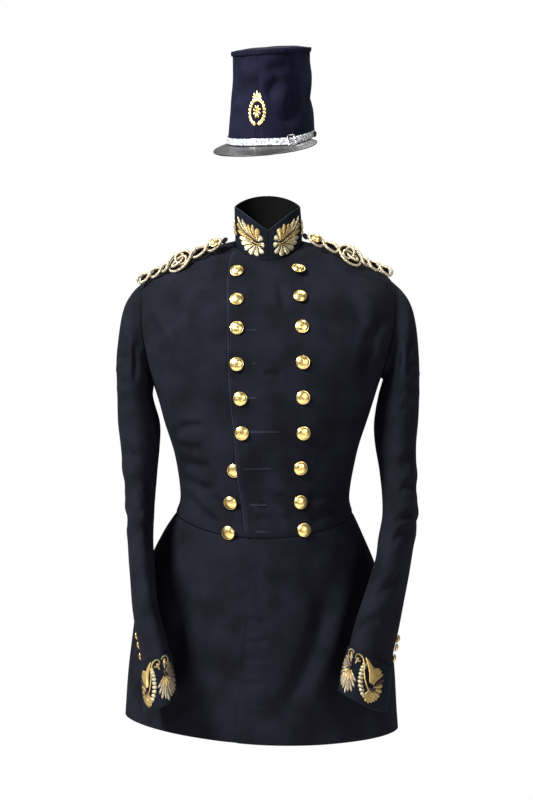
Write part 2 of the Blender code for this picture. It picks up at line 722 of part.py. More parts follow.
for side, label in ((1, "left"), (-1, "right")):

    def on_collar(u, v, lift):
        return collar_place(side, 19 - u, 33 + v, lift)

    add_lobed("collar_spray_" + label, on_collar, COLLAR_LOBES, COLLAR_ROOTS, 0.9, 1.5, bullion)

    # lengths along the cuff, from its hind seam to its inner side
    turns = spread(-60, 230, 58)
    places = [sleeve_skin(label, 15.56, t, CLOTH + 0.7) for t in turns]
    lengths = np.cumsum([0.0] + [float(np.linalg.norm(b - a)) for a, b in zip(places, places[1:])])
    fold = float(np.interp(90, turns, lengths))

    def on_cuff(u, v, lift):
        turn = float(np.interp(fold - u, lengths, turns))
        return sleeve_skin(label, 15.56 - v / 74.0, turn, CLOTH + 0.7 + lift)

    add_lobed("cuff_spray_" + label, on_cuff, CUFF_LOBES, CUFF_ROOTS, 1.0, 1.5, bullion)


# The shako: rings from the lower edge of the cloth (0) to its top (1)
HAT_PLACE = np.array((6.2, 120.0, 205.0))
HAT_YAW = math.radians(-16.5)
HAT_PITCH = math.radians(15)
HAT_TALL = 139.0
HAT_WIDE = (73.4, 70.6, 67.4, 64.9, 65.2)
HAT_LONG = (92.0, 90.0, 88.0, 87.0, 88.0)
HAT_SIDES = 24


def hat_frame(x, y, z):
    # from the shako's own frame, whose front is -Y, to the frame of the set; its rings are tipped forward, its axis upright
    y = y + z * math.tan(HAT_PITCH)
    y, z = y * math.cos(HAT_PITCH) - z * math.sin(HAT_PITCH), y * math.sin(HAT_PITCH) + z * math.cos(HAT_PITCH)
    x, y = x * math.cos(HAT_YAW) - y * math.sin(HAT_YAW), x * math.sin(HAT_YAW) + y * math.cos(HAT_YAW)
    return HAT_PLACE + np.array((x, y, z))


def hat_point(height, angle, out=0.0, level=0.0):
    # height 0 to 1 up the crown, angle 0 at the front, out from the cloth, level above that height
    share = height * (len(HAT_WIDE) - 1)
    s, c = math.sin(math.radians(angle)), math.cos(math.radians(angle))
    wide, long = eased(HAT_WIDE, share) + out, eased(HAT_LONG, share) + out
    # the top slopes less than the lower edge
    lift = -0.045 * height * (-long * c)
    return hat_frame(wide * s, -long * c, height * HAT_TALL + level + lift)


hat_turns = [360 * i / HAT_SIDES for i in range(HAT_SIDES)]


def hat_band(name, heights, out, thick, material, levels=None):
    levels = levels or [0] * len(heights)
    outer = [[hat_point(h, a, out, up) for a in hat_turns] for h, up in zip(heights, levels)]
    inner = [[hat_point(h, a, out - thick, up) for a in hat_turns] for h, up in zip(heights, levels)]
    return add_wall(name, outer, inner, material, round_piece=True)


hat_band("shako_crown", (0, 0.25, 0.5, 0.75, 1.0), 0, CLOTH, shako_cloth)
hat_band("shako_rim", (0.945, 0.945, 1.0, 1.0), 2.7, CLOTH, shako_cloth, (0, 4, -1, 2.5))
hat_band("shako_headband", (0, 0, 0.1), -CLOTH - 0.5, 1.6, tan_leather, (-11, 0, 0))

# domed top, set inside the rim
top_points, top_faces = [], []
for level, dome in ((2.9, 0.0), (0.5, 1.0)):
    for share in (0.985, 0.6):
        swell = (1 - share**2) * 5.0
        top_points += [hat_point(1.0, a, -70 * (1 - share) - 0.2, level + swell) for a in hat_turns]
    top_points.append(hat_point(1.0, 0, -1, level) * 0 + hat_frame(0, 0, HAT_TALL + level + 5.0))
ring = 2 * HAT_SIDES + 1
for k in (0, ring):
    for i in range(HAT_SIDES):
        j = (i + 1) % HAT_SIDES
        top_faces.append((k + i, k + j, k + HAT_SIDES + j, k + HAT_SIDES + i))
        top_faces.append((k + HAT_SIDES + i, k + HAT_SIDES + j, k + 2 * HAT_SIDES))
for i in range(HAT_SIDES):
    j = (i + 1) % HAT_SIDES
    top_faces.append((i, ring + i, ring + j, j))
add_mesh("shako_top", top_points, top_faces, shako_cloth)

# peak: a crescent of stiff leather that slopes forward and down from the lower edge
PEAK_REACH, PEAK_FALL = 41.0, 0.22


def peak_point(share, angle, level):
    reach = PEAK_REACH * math.cos(math.radians(angle * 0.98)) ** 0.65
    out = -1.6 + share * (reach + 1.6)
    fall = PEAK_FALL * out * (1 + 0.25 * share)
    return hat_point(0, angle, out, -9.8 - fall + level)


peak_angles = spread(-84, 84, 16)
outer = [[peak_point(share, a, 0) for a in peak_angles] for share in (0, 0.35, 0.7, 1)]
inner = [[peak_point(share, a, -2.2) for a in peak_angles] for share in (0, 0.35, 0.7, 1)]
add_wall("shako_peak", outer, inner, patent)

# chin strap over the front, slack towards the buckle
STRAP_WIDE = 11.0
STRAP_END = 94.0
BUCKLE_ANGLE = 43.0


def strap_point(angle, up, out):
    slack = math.exp(-((angle - BUCKLE_ANGLE) / 26.0) ** 2) * step(STRAP_END - abs(angle), 0, 20)
    lean = 1 - up / STRAP_WIDE
    return hat_point(0, angle, 0.6 + out + 6.0 * slack * lean, up - 3.2 - 2.2 * slack)


strap_angles = spread(-STRAP_END, STRAP_END, 20)
outer = [[strap_point(a, up, 1.6) for a in strap_angles] for up in (-STRAP_WIDE / 2, STRAP_WIDE / 2)]
inner = [[strap_point(a, up, 0) for a in strap_angles] for up in (-STRAP_WIDE / 2, STRAP_WIDE / 2)]
add_wall("shako_strap", outer, inner, patent)

buckle_angles = spread(BUCKLE_ANGLE - 5, BUCKLE_ANGLE + 5, 2)
outer = [[strap_point(a, up, 3.6) for a in buckle_angles] for up in (-6.6, 6.6)]
inner = [[strap_point(a, up, 2.0) for a in buckle_angles] for up in (-6.6, 6.6)]
add_wall("shako_buckle", outer, inner, gilt)

for side, label in ((1, "left"), (-1, "right")):
    foot = strap_point(side * (STRAP_END - 4), 0, 2.2)
    normal = strap_point(side * (STRAP_END - 4), 0, 4) - foot
    add_button("shako_stud_" + label, foot, normal, 5.6, 4.0, sides=10)

# badge: an upright oval wreath round a plain boss, with three round leaves at the top
BADGE_LEVEL, BADGE_WIDE, BADGE_TALL, BADGE_SIDES = 47.0, 21.0, 25.0, 28


def badge_place(u, v, lift):
    height = (BADGE_LEVEL + v) / HAT_TALL
    return hat_point(height, math.degrees(u / 76.0), 0.45 + lift)


points, faces = [], []
for share, lift in ((0.86, 0.0), (1.0, 1.0), (0.84, 2.8), (0.66, 1.2), (0.46, 1.4)):
    for i in range(BADGE_SIDES):
        turn = 2 * math.pi * i / BADGE_SIDES
        scallop = 1 + (0.05 if i % 2 else -0.03) * (share > 0.8)
        crest = 1 + 0.30 * math.exp(-((math.degrees(turn) - 90) / 17) ** 2) * (share > 0.8)
        u = BADGE_WIDE * share * scallop * math.cos(turn)
        v = BADGE_TALL * share * scallop * crest * math.sin(turn)
        points.append(badge_place(u, v, lift))
for ring in range(4):
    for i in range(BADGE_SIDES):
        a, b = ring * BADGE_SIDES + i, ring * BADGE_SIDES + (i + 1) % BADGE_SIDES
        faces.append((a, b, b + BADGE_SIDES, a + BADGE_SIDES))
points += [badge_place(0, 0, 0), badge_place(0, 0, 3.6)]
for i in range(BADGE_SIDES):
    j = (i + 1) % BADGE_SIDES
    faces.append((j, i, len(points) - 2))
    faces.append((4 * BADGE_SIDES + i, 4 * BADGE_SIDES + j, len(points) - 1))
add_mesh("shako_badge", points, faces, gilt)
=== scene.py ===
import math

import bpy
import numpy as np
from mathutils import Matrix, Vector


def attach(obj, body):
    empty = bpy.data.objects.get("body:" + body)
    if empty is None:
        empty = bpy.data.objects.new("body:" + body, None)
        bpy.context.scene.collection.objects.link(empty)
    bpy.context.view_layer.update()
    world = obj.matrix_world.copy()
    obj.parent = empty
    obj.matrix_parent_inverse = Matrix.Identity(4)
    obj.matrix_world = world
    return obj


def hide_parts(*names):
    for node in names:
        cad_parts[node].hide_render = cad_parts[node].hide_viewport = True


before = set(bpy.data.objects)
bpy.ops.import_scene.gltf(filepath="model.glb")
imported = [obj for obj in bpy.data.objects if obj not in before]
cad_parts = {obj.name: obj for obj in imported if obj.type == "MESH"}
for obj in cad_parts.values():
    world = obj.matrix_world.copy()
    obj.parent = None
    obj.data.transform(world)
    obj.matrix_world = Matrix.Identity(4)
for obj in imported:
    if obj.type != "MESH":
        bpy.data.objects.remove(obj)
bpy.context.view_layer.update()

# Officer's double-breasted frock coat and its peaked shako.
# Forms are in millimetres until a mesh is made: the front is -Y, up is +Z, the wearer's left is +X.
# The origin is at the base of the collar, and "left" is the wearer's left everywhere.

mm = 0.001


def colour(code):
    # sRGB hex to linear
    parts = [int(code[i:i + 2], 16) / 255 for i in (1, 3, 5)]
    linear = [c / 12.92 if c <= 0.04045 else ((c + 0.055) / 1.055) ** 2.4 for c in parts]
    return (*linear, 1.0)


def addNode(tree, kind, values=None, links=None, **settings):
    node = tree.nodes.new(kind)
    for key, value in settings.items():
        setattr(node, key, value)
    for key, value in (values or {}).items():
        node.inputs[key].default_value = value
    for key, source in (links or {}).items():
        tree.links.new(source, node.inputs[key])
    return node


def addMaterial(name, values):
    material = bpy.data.materials.new(name)
    material.use_nodes = True
    shader = material.node_tree.nodes["Principled BSDF"]
    for key, value in values.items():
        shader.inputs[key].default_value = value
    return material, material.node_tree, shader


def blended(tree, source, stops):
    # a ramp between two colours: each stop is a place and a colour
    ramp = addNode(tree, "ShaderNodeValToRGB", links={"Fac": source})
    for stop, (place, code) in zip(ramp.color_ramp.elements, stops):
        stop.position, stop.color = place, colour(code)
    return ramp.outputs["Color"]


def wovenCloth(name, dark, light, sheen, fuzz, nap=0.35):
    # short-napped cloth: a fine twill ground under brushed fibres, so that edges catch a soft pale sheen
    # its threads are 0.4 mm apart, too fine to show, so the twill is drawn at 0.9 mm
    material, tree, shader = addMaterial(name, {"Roughness": 0.88, "Specular IOR Level": 0.06,
                                                "Sheen Weight": sheen,
                                                "Sheen Roughness": 0.45, "Sheen Tint": colour(fuzz)})
    place = addNode(tree, "ShaderNodeTexCoord")
    cloudy = addNode(tree, "ShaderNodeTexNoise", {"Scale": 22.0, "Detail": 4.0},
                     {"Vector": place.outputs["Object"]})
    fibre = addNode(tree, "ShaderNodeTexNoise", {"Scale": 1500.0, "Detail": 3.0, "Roughness": 0.7},
                    {"Vector": place.outputs["Object"]})
    twill = addNode(tree, "ShaderNodeTexWave", {"Scale": 0.32 / (0.9 * mm), "Distortion": 1.2, "Detail": 1.0},
                    {"Vector": place.outputs["UV"]}, bands_direction="DIAGONAL")
    mixed = addNode(tree, "ShaderNodeMath", {1: 0.55}, {0: cloudy.outputs["Fac"]}, operation="MULTIPLY")
    mixed = addNode(tree, "ShaderNodeMath", {1: 0.45, 2: 0.0}, {0: fibre.outputs["Fac"], 2: mixed.outputs[0]},
                    operation="MULTIPLY_ADD")
    tree.links.new(blended(tree, mixed.outputs[0], ((0.35, dark), (0.68, light))),
                   shader.inputs["Base Color"])
    bump = addNode(tree, "ShaderNodeBump", {"Strength": 0.25, "Distance": 0.15 * mm},
                   {"Height": twill.outputs["Fac"]})
    bump = addNode(tree, "ShaderNodeBump", {"Strength": nap, "Distance": 0.25 * mm},
                   {"Height": fibre.outputs["Fac"], "Normal": bump.outputs["Normal"]})
    tree.links.new(bump.outputs["Normal"], shader.inputs["Normal"])
    return material


def metal(name, base, roughness, grain, grainSize, tint):
    # struck metal: a faint grain, its size in millimetres, breaks its reflections and darkens its hollows
    material, tree, shader = addMaterial(name, {"Base Color": colour(base), "Metallic": 1.0,
                                                "Roughness": roughness})
    place = addNode(tree, "ShaderNodeTexCoord")
    noise = addNode(tree, "ShaderNodeTexNoise", {"Scale": 0.5 / (grainSize * mm), "Detail": 3.0},
                    {"Vector": place.outputs["Object"]})
    tree.links.new(blended(tree, noise.outputs["Fac"], ((0.35, tint), (0.62, base))),
                   shader.inputs["Base Color"])
    bump = addNode(tree, "ShaderNodeBump", {"Strength": grain, "Distance": 0.1 * mm},
                   {"Height": noise.outputs["Fac"]})
    tree.links.new(bump.outputs["Normal"], shader.inputs["Normal"])
    return material


def bullion(name, base, shade, pitch=0.7):
    # metal purl laid side by side: ridges across each lobe, pitch millimetres apart, give a broken glint; the
    # colour is painted dark in the troughs between the ridges and pale on their crests, as shade and
    # highlight, over a random tone
    material, tree, shader = addMaterial(name, {"Metallic": 0.75, "Roughness": 0.42})
    place = addNode(tree, "ShaderNodeTexCoord")
    ridge = addNode(tree, "ShaderNodeTexWave",
                    {"Scale": 0.32 / (pitch * mm), "Distortion": 0.6, "Detail": 1.0},
                    {"Vector": place.outputs["UV"]}, bands_direction="X")
    noise = addNode(tree, "ShaderNodeTexNoise", {"Scale": 260.0, "Detail": 2.0},
                    {"Vector": place.outputs["Object"]})
    # half the colour follows the ridges: painted shade in their troughs, painted highlight on their crests
    mixed = addNode(tree, "ShaderNodeMath", {1: 0.5}, {0: ridge.outputs["Fac"]}, operation="MULTIPLY")
    mixed = addNode(tree, "ShaderNodeMath", {1: 0.5, 2: 0.0}, {0: noise.outputs["Fac"], 2: mixed.outputs[0]},
                    operation="MULTIPLY_ADD")
    tree.links.new(blended(tree, mixed.outputs[0], ((0.22, shade), (0.60, base))),
                   shader.inputs["Base Color"])
    bump = addNode(tree, "ShaderNodeBump", {"Strength": 0.6, "Distance": 0.3 * mm},
                   {"Height": ridge.outputs["Fac"]})
    tree.links.new(bump.outputs["Normal"], shader.inputs["Normal"])
    return material


def leather(name, dark, light, roughness, coat, wrinkle, scale):
    # finished leather: a fine pebble in it, and a lacquer coat where it is patent
    material, tree, shader = addMaterial(name, {"Roughness": roughness, "Coat Weight": coat,
                                                "Coat Roughness": 0.08})
    place = addNode(tree, "ShaderNodeTexCoord")
    noise = addNode(tree, "ShaderNodeTexNoise", {"Scale": scale, "Detail": 4.0},
                    {"Vector": place.outputs["Object"]})
    tree.links.new(blended(tree, noise.outputs["Fac"], ((0.35, dark), (0.7, light))),
                   shader.inputs["Base Color"])
    bump = addNode(tree, "ShaderNodeBump", {"Strength": wrinkle, "Distance": 0.5 * mm},
                   {"Height": noise.outputs["Fac"]})
    tree.links.new(bump.outputs["Normal"], shader.inputs["Normal"])
    return material


# fulled navy twill, brushed: soft and nearly matt, a little uneven, with a pale bloom along its edges
woolMelton = wovenCloth("navy_melton_wool_brushed", "#07070b", "#15161f", 0.02, "#8a94b0")
# finer, greener cloth of the collar and cuffs: darker, so that the embroidery stands off it
facingCloth = wovenCloth("blue_black_facing_cloth_napped", "#07080d", "#10141c", 0.02, "#8aa0b8")
# the shako's cloth: bluer than the coat and duller
shakoCloth = wovenCloth("dark_blue_shako_cloth_brushed", "#080812", "#151529", 0.02, "#9098c8")
# black and matt: painted shade on the inside of the collar, so that the opening reads as a hole; also the
# black thread of the shako's crown seam
seamThreadAndShadeBlack = wovenCloth("black_seam_thread_and_painted_shade_matt", "#020202", "#060506", 0.0, "#404040")
# pale grey-blue thread and painted sheen, greyer and paler than the cloth: the buttonholes' stitches and a
# stitch line on the lap, and painted sheen that draws the lap's edge and the collar's rim
threadAndEdgeSheen = wovenCloth("grey_blue_thread_and_painted_edge_sheen", "#191b25", "#363a48", 0.03, "#98a0b8", 0.1)
# felt under the shoulder cords: a brown black that fills their loops
backingCloth = wovenCloth("black_backing_cloth_felted", "#0a0809", "#1a1214", 0.01, "#807080")
# struck and gilt brass: warm bright domes, deeper gold in the hollows
giltBrass = metal("gilt_brass_struck", "#f7e09a", 0.3, 0.04, 0.7, "#d9ad5c")
# silvered brass worn to grey: the strap's buckle, patchy and cold
paleMetal = metal("silvered_brass_worn", "#c9c9cc", 0.3, 0.3, 1.2, "#6f6c66")
# brass that has blackened: the strap's studs, which hardly catch the light
darkMetal = metal("blackened_brass_worn", "#5a4c3c", 0.35, 0.3, 1.0, "#241d18")
# silver-gilt purl faded to cream: the collar's outer lobes and the cuff's beads
silverPurl = bullion("silver_gilt_purl_faded", "#c8bd9c", "#5d4e36")
# tarnished silver purl: the cuff's grey palm
dullPurl = bullion("silver_purl_tarnished", "#9a8d76", "#382d25", 0.5)
# gold purl: the warm stems and leaves
goldPurl = bullion("gold_purl_worked", "#bda368", "#4b3518")
# gold cord gone pale: a coarse twist, painted brown as shade in the troughs between its strands
oldCord = bullion("gold_cord_twisted_tarnished", "#c9bda0", "#574a38", 1.1)
# dark red silk: thin lines between the leaves
redThread = addMaterial("dark_red_silk_thread", {"Base Color": colour("#220a0a"), "Roughness": 0.6})[0]
# lacquered black leather gone dull: the peak, with a broad soft shine
patentLeather = leather("black_patent_leather_lacquered", "#040405", "#2a2a2c", 0.45, 0.25, 0.5, 320.0)
# the strap: a grey and white mottle painted into its colour as the white reflections on its lacquer, sharp
# and broken
strapPaintedReflection = leather("patent_strap_leather_painted_reflection", "#4a4d55", "#f4f5f7", 0.3, 0.7, 0.4, 240.0)
# worn vegetable-tanned leather: the head band, brown and almost matt
tanLeather = leather("tan_leather_worn", "#5b3218", "#a06a3a", 0.55, 0.0, 0.3, 180.0)
print("materials made")


def eased(values, place):
    # a smooth value through a column of a table, at a place counted in rows
    values, place = np.asarray(values, float), np.asarray(place, float)
    last = len(values) - 1
    at = np.clip(np.floor(place), 0, last - 1).astype(int)
    f = np.clip(place - at, -0.2, 1.2)
    low, high = values[at], values[at + 1]
    rise = high - low
    leave = np.where(at > 0, (high - values[np.maximum(at - 1, 0)]) / 2, rise)
    reach = np.where(at + 2 <= last, (values[np.minimum(at + 2, last)] - low) / 2, rise)
    return ((2 * f**3 - 3 * f**2 + 1) * low + (f**3 - 2 * f**2 + f) * leave
            + (3 * f**2 - 2 * f**3) * high + (f**3 - f**2) * reach)


def step(value, start, end):
    f = np.clip((value - start) / (end - start), 0.0, 1.0)
    return f * f * (3 - 2 * f)


def power(value, exponent):
    return np.copysign(np.abs(value) ** exponent, value)


def unit(vector):
    vector = np.asarray(vector, float)
    return vector / np.maximum(np.linalg.norm(vector, axis=-1, keepdims=True), 1e-9)


def tableOf(columns, rows):
    return {name: np.array(column, float) for name, column in zip(columns.split(), zip(*rows))}


# rings of the body from the neck seam to the waist seam; the angle is 0 at the front and 90 at the left
body = tableOf("side front back wide fore aft square shift lap", (
    (6, -31, 24, 58, 60, 52, 2.00, 1, -50),
    (2, -44, 16, 84, 69, 62, 1.95, 1, -60),
    (-12, -62, 0, 122, 80, 76, 1.95, 0, -64),
    (-33, -86, -22, 165, 93, 92, 2.05, 0, -64.5),
    (-54, -112, -50, 201, 106, 106, 2.20, 0, -64),
    (-92, -142, -88, 212, 116, 116, 2.40, 0, -63.5),
    (-136, -176, -134, 213, 124, 121, 2.50, -1, -63),
    (-178, -210, -176, 204, 128, 121, 2.50, -2, -62),
    (-216, -240, -212, 189, 130, 118, 2.50, -3, -60),
    (-252, -268, -248, 177, 130, 113, 2.50, -3, -58),
    (-290, -302, -284, 166, 129, 107, 2.40, -4, -54),
    (-345, -355, -330, 149, 125, 99, 2.30, -4, -48.5),
    (-409, -414, -390, 139, 122, 94, 2.20, -5, -41.5),
    (-438, -471, -424, 145, 128, 98, 2.10, -6, -34.5),
))
skirt = tableOf("side front back wide fore aft square shift lap tilt flare", (
    (-438, -471, -424, 145, 128, 98, 2.10, -6, -28, 0.00, 0),
    (-474, -508, -466, 165, 134, 114, 1.95, -9, -28, 0.00, 2),
    (-526, -562, -518, 188, 140, 132, 1.85, -10, -29, -0.01, 7),
    (-592, -628, -584, 206, 146, 147, 1.80, -10, -35, -0.02, 13),
    (-676, -706, -662, 217, 150, 158, 1.80, -10, -43, -0.035, 19),
    (-782, -790, -756, 225, 154, 166, 1.80, -10, -48, -0.05, 24),
))
# what the whole coat's cloth is like, in millimetres; every fold's depth is its table's depth times foldDepth
cloth = {"thickness": 1.9, "seamGap": 0.34, "seamDip": 0.55, "seamBreadth": 2.2, "foldDepth": 3.4,
         "spacing": 3.7}
# how far the left front stands on the right one, where that fades out, and how it gapes at the undone buttons
lap = {"lift": 1.4, "flatTo": 85.0, "doneAt": 125.0, "gape": 10.5, "gapeRow": 11.22, "gapeRows": 0.46,
       "gapeBreadth": 42.0}


def ringPoint(table, row, angle, drop=1.5):
    row, angle = np.broadcast_arrays(np.asarray(row, float), np.asarray(angle, float))
    s, c = np.sin(np.radians(angle)), np.cos(np.radians(angle))
    square = eased(table["square"], row)
    ahead = c > 0
    depth = np.where(ahead, eased(table["fore"], row), eased(table["aft"], row))
    end = np.where(ahead, eased(table["front"], row), eased(table["back"], row))
    side = eased(table["side"], row)
    x = eased(table["wide"], row) * power(s, 2 / square)
    tilt = eased(table["tilt"], row) if "tilt" in table else 0.0
    return np.stack((x + eased(table["shift"], row), -depth * power(c, 2 / square),
                     side + (end - side) * np.abs(c) ** drop + tilt * x), axis=-1)


def bodyPoint(row, angle):
    return ringPoint(body, row, angle)


def skirtPoint(row, angle):
    return ringPoint(skirt, row, angle)


def angleAt(table, row, x):
    share = np.clip((x - eased(table["shift"], row)) / eased(table["wide"], row), -0.995, 0.995)
    return np.degrees(np.arcsin(power(share, eased(table["square"], row) / 2)))


def nudge(surface, row, angle, distance):
    # the angle that is this many millimetres further round
    return angle + distance / np.linalg.norm(surface(row, angle + 0.5) - surface(row, angle - 0.5), axis=-1)


def skin(surface, row, angle, lift, sign=1.0):
    # a point moved out from a form by lift along its normal, found over a small step in row and in angle
    down = surface(row + 0.02, angle) - surface(row - 0.02, angle)
    across = surface(row, angle + 0.8) - surface(row, angle - 0.8)
    return surface(row, angle) + unit(np.cross(down, across)) * np.asarray(lift)[..., None] * sign


# the armhole is a circle in rows 4 to 8 and 25 degrees each way; its middle and its half are angles
def armholeMiddle(row):
    return 100.0 - 10.0 * (row - 4.0) / 4.0


def armholeHalf(row):
    return 25.0 * np.sqrt(np.maximum(0.0, 1.0 - ((row - 6.0) / 2.0) ** 2))


def frontBound(row):
    return np.where(row <= 4.0, 100.0, np.where(row < 8.0, armholeMiddle(row) - armholeHalf(row), 90.0))


backSeamTop = 6.0 - 2.0 * math.cos(math.pi * 6 / 8)


def backSeam(row):
    return np.interp(row, (backSeamTop, 8, 9, 10, 11, 12, 13), (110.2, 114, 125, 138, 150, 159, 162))


def backBound(row):
    armhole = armholeMiddle(row) + armholeHalf(row)
    return np.where(row <= 4.0, 100.0, np.where(row < backSeamTop, armhole, backSeam(row)))


def overLift(table, row, angle):
    # the wearer's left front lies on top, and gapes where its lower buttons are undone
    x = ringPoint(table, row, angle)[..., 0]
    lift = lap["lift"] * (1 - step(x, lap["flatTo"], lap["doneAt"])) * (1 - step(angle, 44, 66))
    if table is body:
        edge = eased(table["lap"], row)
        gape = np.exp(-((row - lap["gapeRow"]) / lap["gapeRows"]) ** 2)
        lift = lift + lap["gape"] * gape * (1 - step(x, edge, edge + lap["gapeBreadth"]))
    return lift


def underLift(table, row, angle):
    # the right front lies under it, pressed in by as much
    x = ringPoint(table, row, angle)[..., 0]
    edge = eased(table["lap"], row)
    return -lap["lift"] * step(x, edge - 27, edge - 8)


def addMesh(name, points, faces, material, nodes=(), uv=None, which=None):
    # which: the number of each face's material, where the piece has several
    mesh = bpy.data.meshes.new(name)
    points = np.asarray(points, np.float32).reshape(-1, 3) * mm
    faces = np.asarray(faces, np.int32)
    sides = faces.shape[1]
    mesh.vertices.add(len(points))
    mesh.vertices.foreach_set("co", points.ravel())
    mesh.loops.add(faces.size)
    mesh.loops.foreach_set("vertex_index", faces.ravel())
    mesh.polygons.add(len(faces))
    mesh.polygons.foreach_set("loop_start", np.arange(0, faces.size, sides, dtype=np.int32))
    mesh.polygons.foreach_set("loop_total", np.full(len(faces), sides, np.int32))
    if uv is not None:
        layer = mesh.uv_layers.new(name="cloth_mm")
        layer.data.foreach_set("uv", (np.asarray(uv, np.float32)[faces.ravel()] * mm).ravel())
    mesh.update()
    mesh.validate()
    mesh.shade_smooth()
    for one in material if isinstance(material, (list, tuple)) else (material,):
        mesh.materials.append(one)
    if which is not None:
        mesh.polygons.foreach_set("material_index", np.asarray(which, np.int32))
    piece = bpy.data.objects.new(name, mesh)
    bpy.context.scene.collection.objects.link(piece)
    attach(piece, "root")
    if nodes:
        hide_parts(*nodes)
    return piece


def gridFaces(index, closed=False):
    a = index[:-1, :-1]
    b = index[:-1, 1:]
    d, e = index[1:, :-1], index[1:, 1:]
    faces = np.stack((a, b, e, d), axis=-1).reshape(-1, 4)
    if closed:
        last = np.stack((index[:-1, -1], index[:-1, 0], index[1:, 0], index[1:, -1]), axis=-1)
        faces = np.concatenate((faces, last))
    return faces


def spacedRows(surface, angle, marks, pitch):
    # rows about evenly spaced down the line at this angle, passing through the marks
    rows = []
    for low, high in zip(marks[:-1], marks[1:]):
        dense = np.linspace(low, high, 40)
        run = np.concatenate(([0], np.cumsum(np.linalg.norm(np.diff(surface(dense, angle), axis=0), axis=1))))
        count = max(2, int(run[-1] / pitch))
        rows += list(np.interp(np.linspace(0, run[-1], count, endpoint=False), run, dense))
    return rows + [marks[-1]]


def edged(rows, surface, angle):
    # extra rows close to both ends, so that the cut edges can be rounded
    rows = list(rows)
    first = np.linalg.norm(surface(rows[0] + 0.02, angle) - surface(rows[0], angle)) / 0.02
    last = np.linalg.norm(surface(rows[-1], angle) - surface(rows[-1] - 0.02, angle)) / 0.02
    start = [rows[0] + d / first for d in (0, 0.25, 0.8)]
    end = [rows[-1] - d / last for d in (0.8, 0.25, 0)]
    return np.array(start + [r for r in rows if start[-1] + 0.8 / first < r < end[0] - 0.8 / last] + end)


def clothGrid(surface, rows, starts, ends, pitch, closed=False):
    # angles about evenly spaced in millimetres along each row, and closer at its cut ends
    dense = starts[:, None] + (ends - starts)[:, None] * np.linspace(0, 1, 240)
    points = surface(rows[:, None], dense)
    run = np.concatenate((np.zeros((len(rows), 1)),
                          np.cumsum(np.linalg.norm(np.diff(points, axis=1), axis=2), axis=1)), axis=1)
    count = max(6, int(run[:, -1].max() / pitch))
    angles = np.zeros((len(rows), count + (0 if closed else 6)))
    for n in range(len(rows)):
        whole = run[n, -1]
        if closed:
            places = np.linspace(0, whole, count, endpoint=False)
        else:
            near = np.minimum((0, 0.25, 0.8), whole * 0.1)
            places = np.concatenate((near, np.linspace(near[-1] + 0.8, whole - near[-1] - 0.8, count),
                                     whole - near[::-1]))
        angles[n] = np.interp(places, run[n], dense[n])
    return angles


def clothSheet(name, surface, rows, starts, ends, material, nodes=(), pitch=cloth["spacing"],
               thick=cloth["thickness"], lift=None, folds=None, seams="", sign=1.0, closed=False,
               held="hung", inside=None):
    # a closed shell of cloth on a form; where held is given, the size that its own grid measures is printed
    # edges named in seams (l, r, t, b) are pressed down; stiff leather has held=None and gets no size printed
    starts, ends = np.broadcast_to(starts, rows.shape) * 1.0, np.broadcast_to(ends, rows.shape) * 1.0
    angles = clothGrid(surface, rows, starts, ends, pitch, closed)
    rowGrid = np.broadcast_to(rows[:, None], angles.shape)
    points = surface(rowGrid, angles)
    wide = np.concatenate((points[:, -1:], points, points[:, :1]), axis=1) if closed else points
    across = np.gradient(wide, axis=1)[:, 1:-1] if closed else np.gradient(points, axis=1)
    down = np.gradient(points, axis=0)
    normal = unit(np.cross(down, across)) * sign
    along = np.cumsum(np.concatenate((np.zeros((len(rows), 1)),
                                      np.linalg.norm(np.diff(points, axis=1), axis=2)), axis=1), axis=1)
    below = np.cumsum(np.concatenate((np.zeros((1, angles.shape[1])),
                                      np.linalg.norm(np.diff(points, axis=0), axis=2))), axis=0)
    gaps = {"t": below, "b": below[-1:] - below}
    if not closed:
        gaps["l"], gaps["r"] = along, along[:, -1:] - along
    raised = np.zeros(angles.shape)
    if lift is not None:
        raised = raised + lift(rowGrid, angles)
    if folds is not None:
        raised = raised + folds(points, rowGrid, angles)
    for edge in seams:
        raised = raised - cloth["seamDip"] * np.exp(-(gaps[edge] / cloth["seamBreadth"]) ** 2)
    half = thick / 2
    roll = np.zeros(angles.shape)
    for gap in gaps.values():
        short = np.maximum(half - gap, 0)
        roll = np.maximum(roll, half - np.sqrt(np.maximum(half**2 - short**2, 0)))
    outer = points + normal * (raised - roll)[..., None]
    inner = points + normal * (raised - thick + roll)[..., None]
    index = np.arange(points.shape[0] * points.shape[1]).reshape(points.shape[:2])
    under = index + index.size
    under[0], under[-1] = index[0], index[-1]
    if not closed:
        under[:, 0], under[:, -1] = index[:, 0], index[:, -1]
    faces = np.concatenate((gridFaces(index, closed), gridFaces(under, closed)[:, ::-1]))
    if sign > 0:
        faces = faces[:, ::-1]
    uv = np.stack((along, below), axis=-1).reshape(-1, 2)
    which = (np.arange(len(faces)) >= len(faces) // 2) * 1 if inside else None
    piece = addMesh(name, np.concatenate((outer.reshape(-1, 3), inner.reshape(-1, 3))), faces,
                    (material, inside) if inside else material, nodes, np.concatenate((uv, uv)),
                    which=which)
    if held:
        side = np.linalg.norm(np.cross(points[1:, 1:] - points[:-1, :-1], points[1:, :-1] - points[:-1, 1:]),
                              axis=2) / 2
        around = along[:, -1].max() + (pitch if closed else 0)
        area = side.sum() + (pitch * below[-1].max() if closed else 0)
        # the flat height is taken as at least 10.1 mm
        flat = (around * mm, max(below.max(), 10.1) * mm)
        area = min(area * mm * mm, flat[0] * flat[1])
        print("sheet %s %.0f x %.0f mm, %.4f m2" % (name, around, below.max(), area))
    return piece


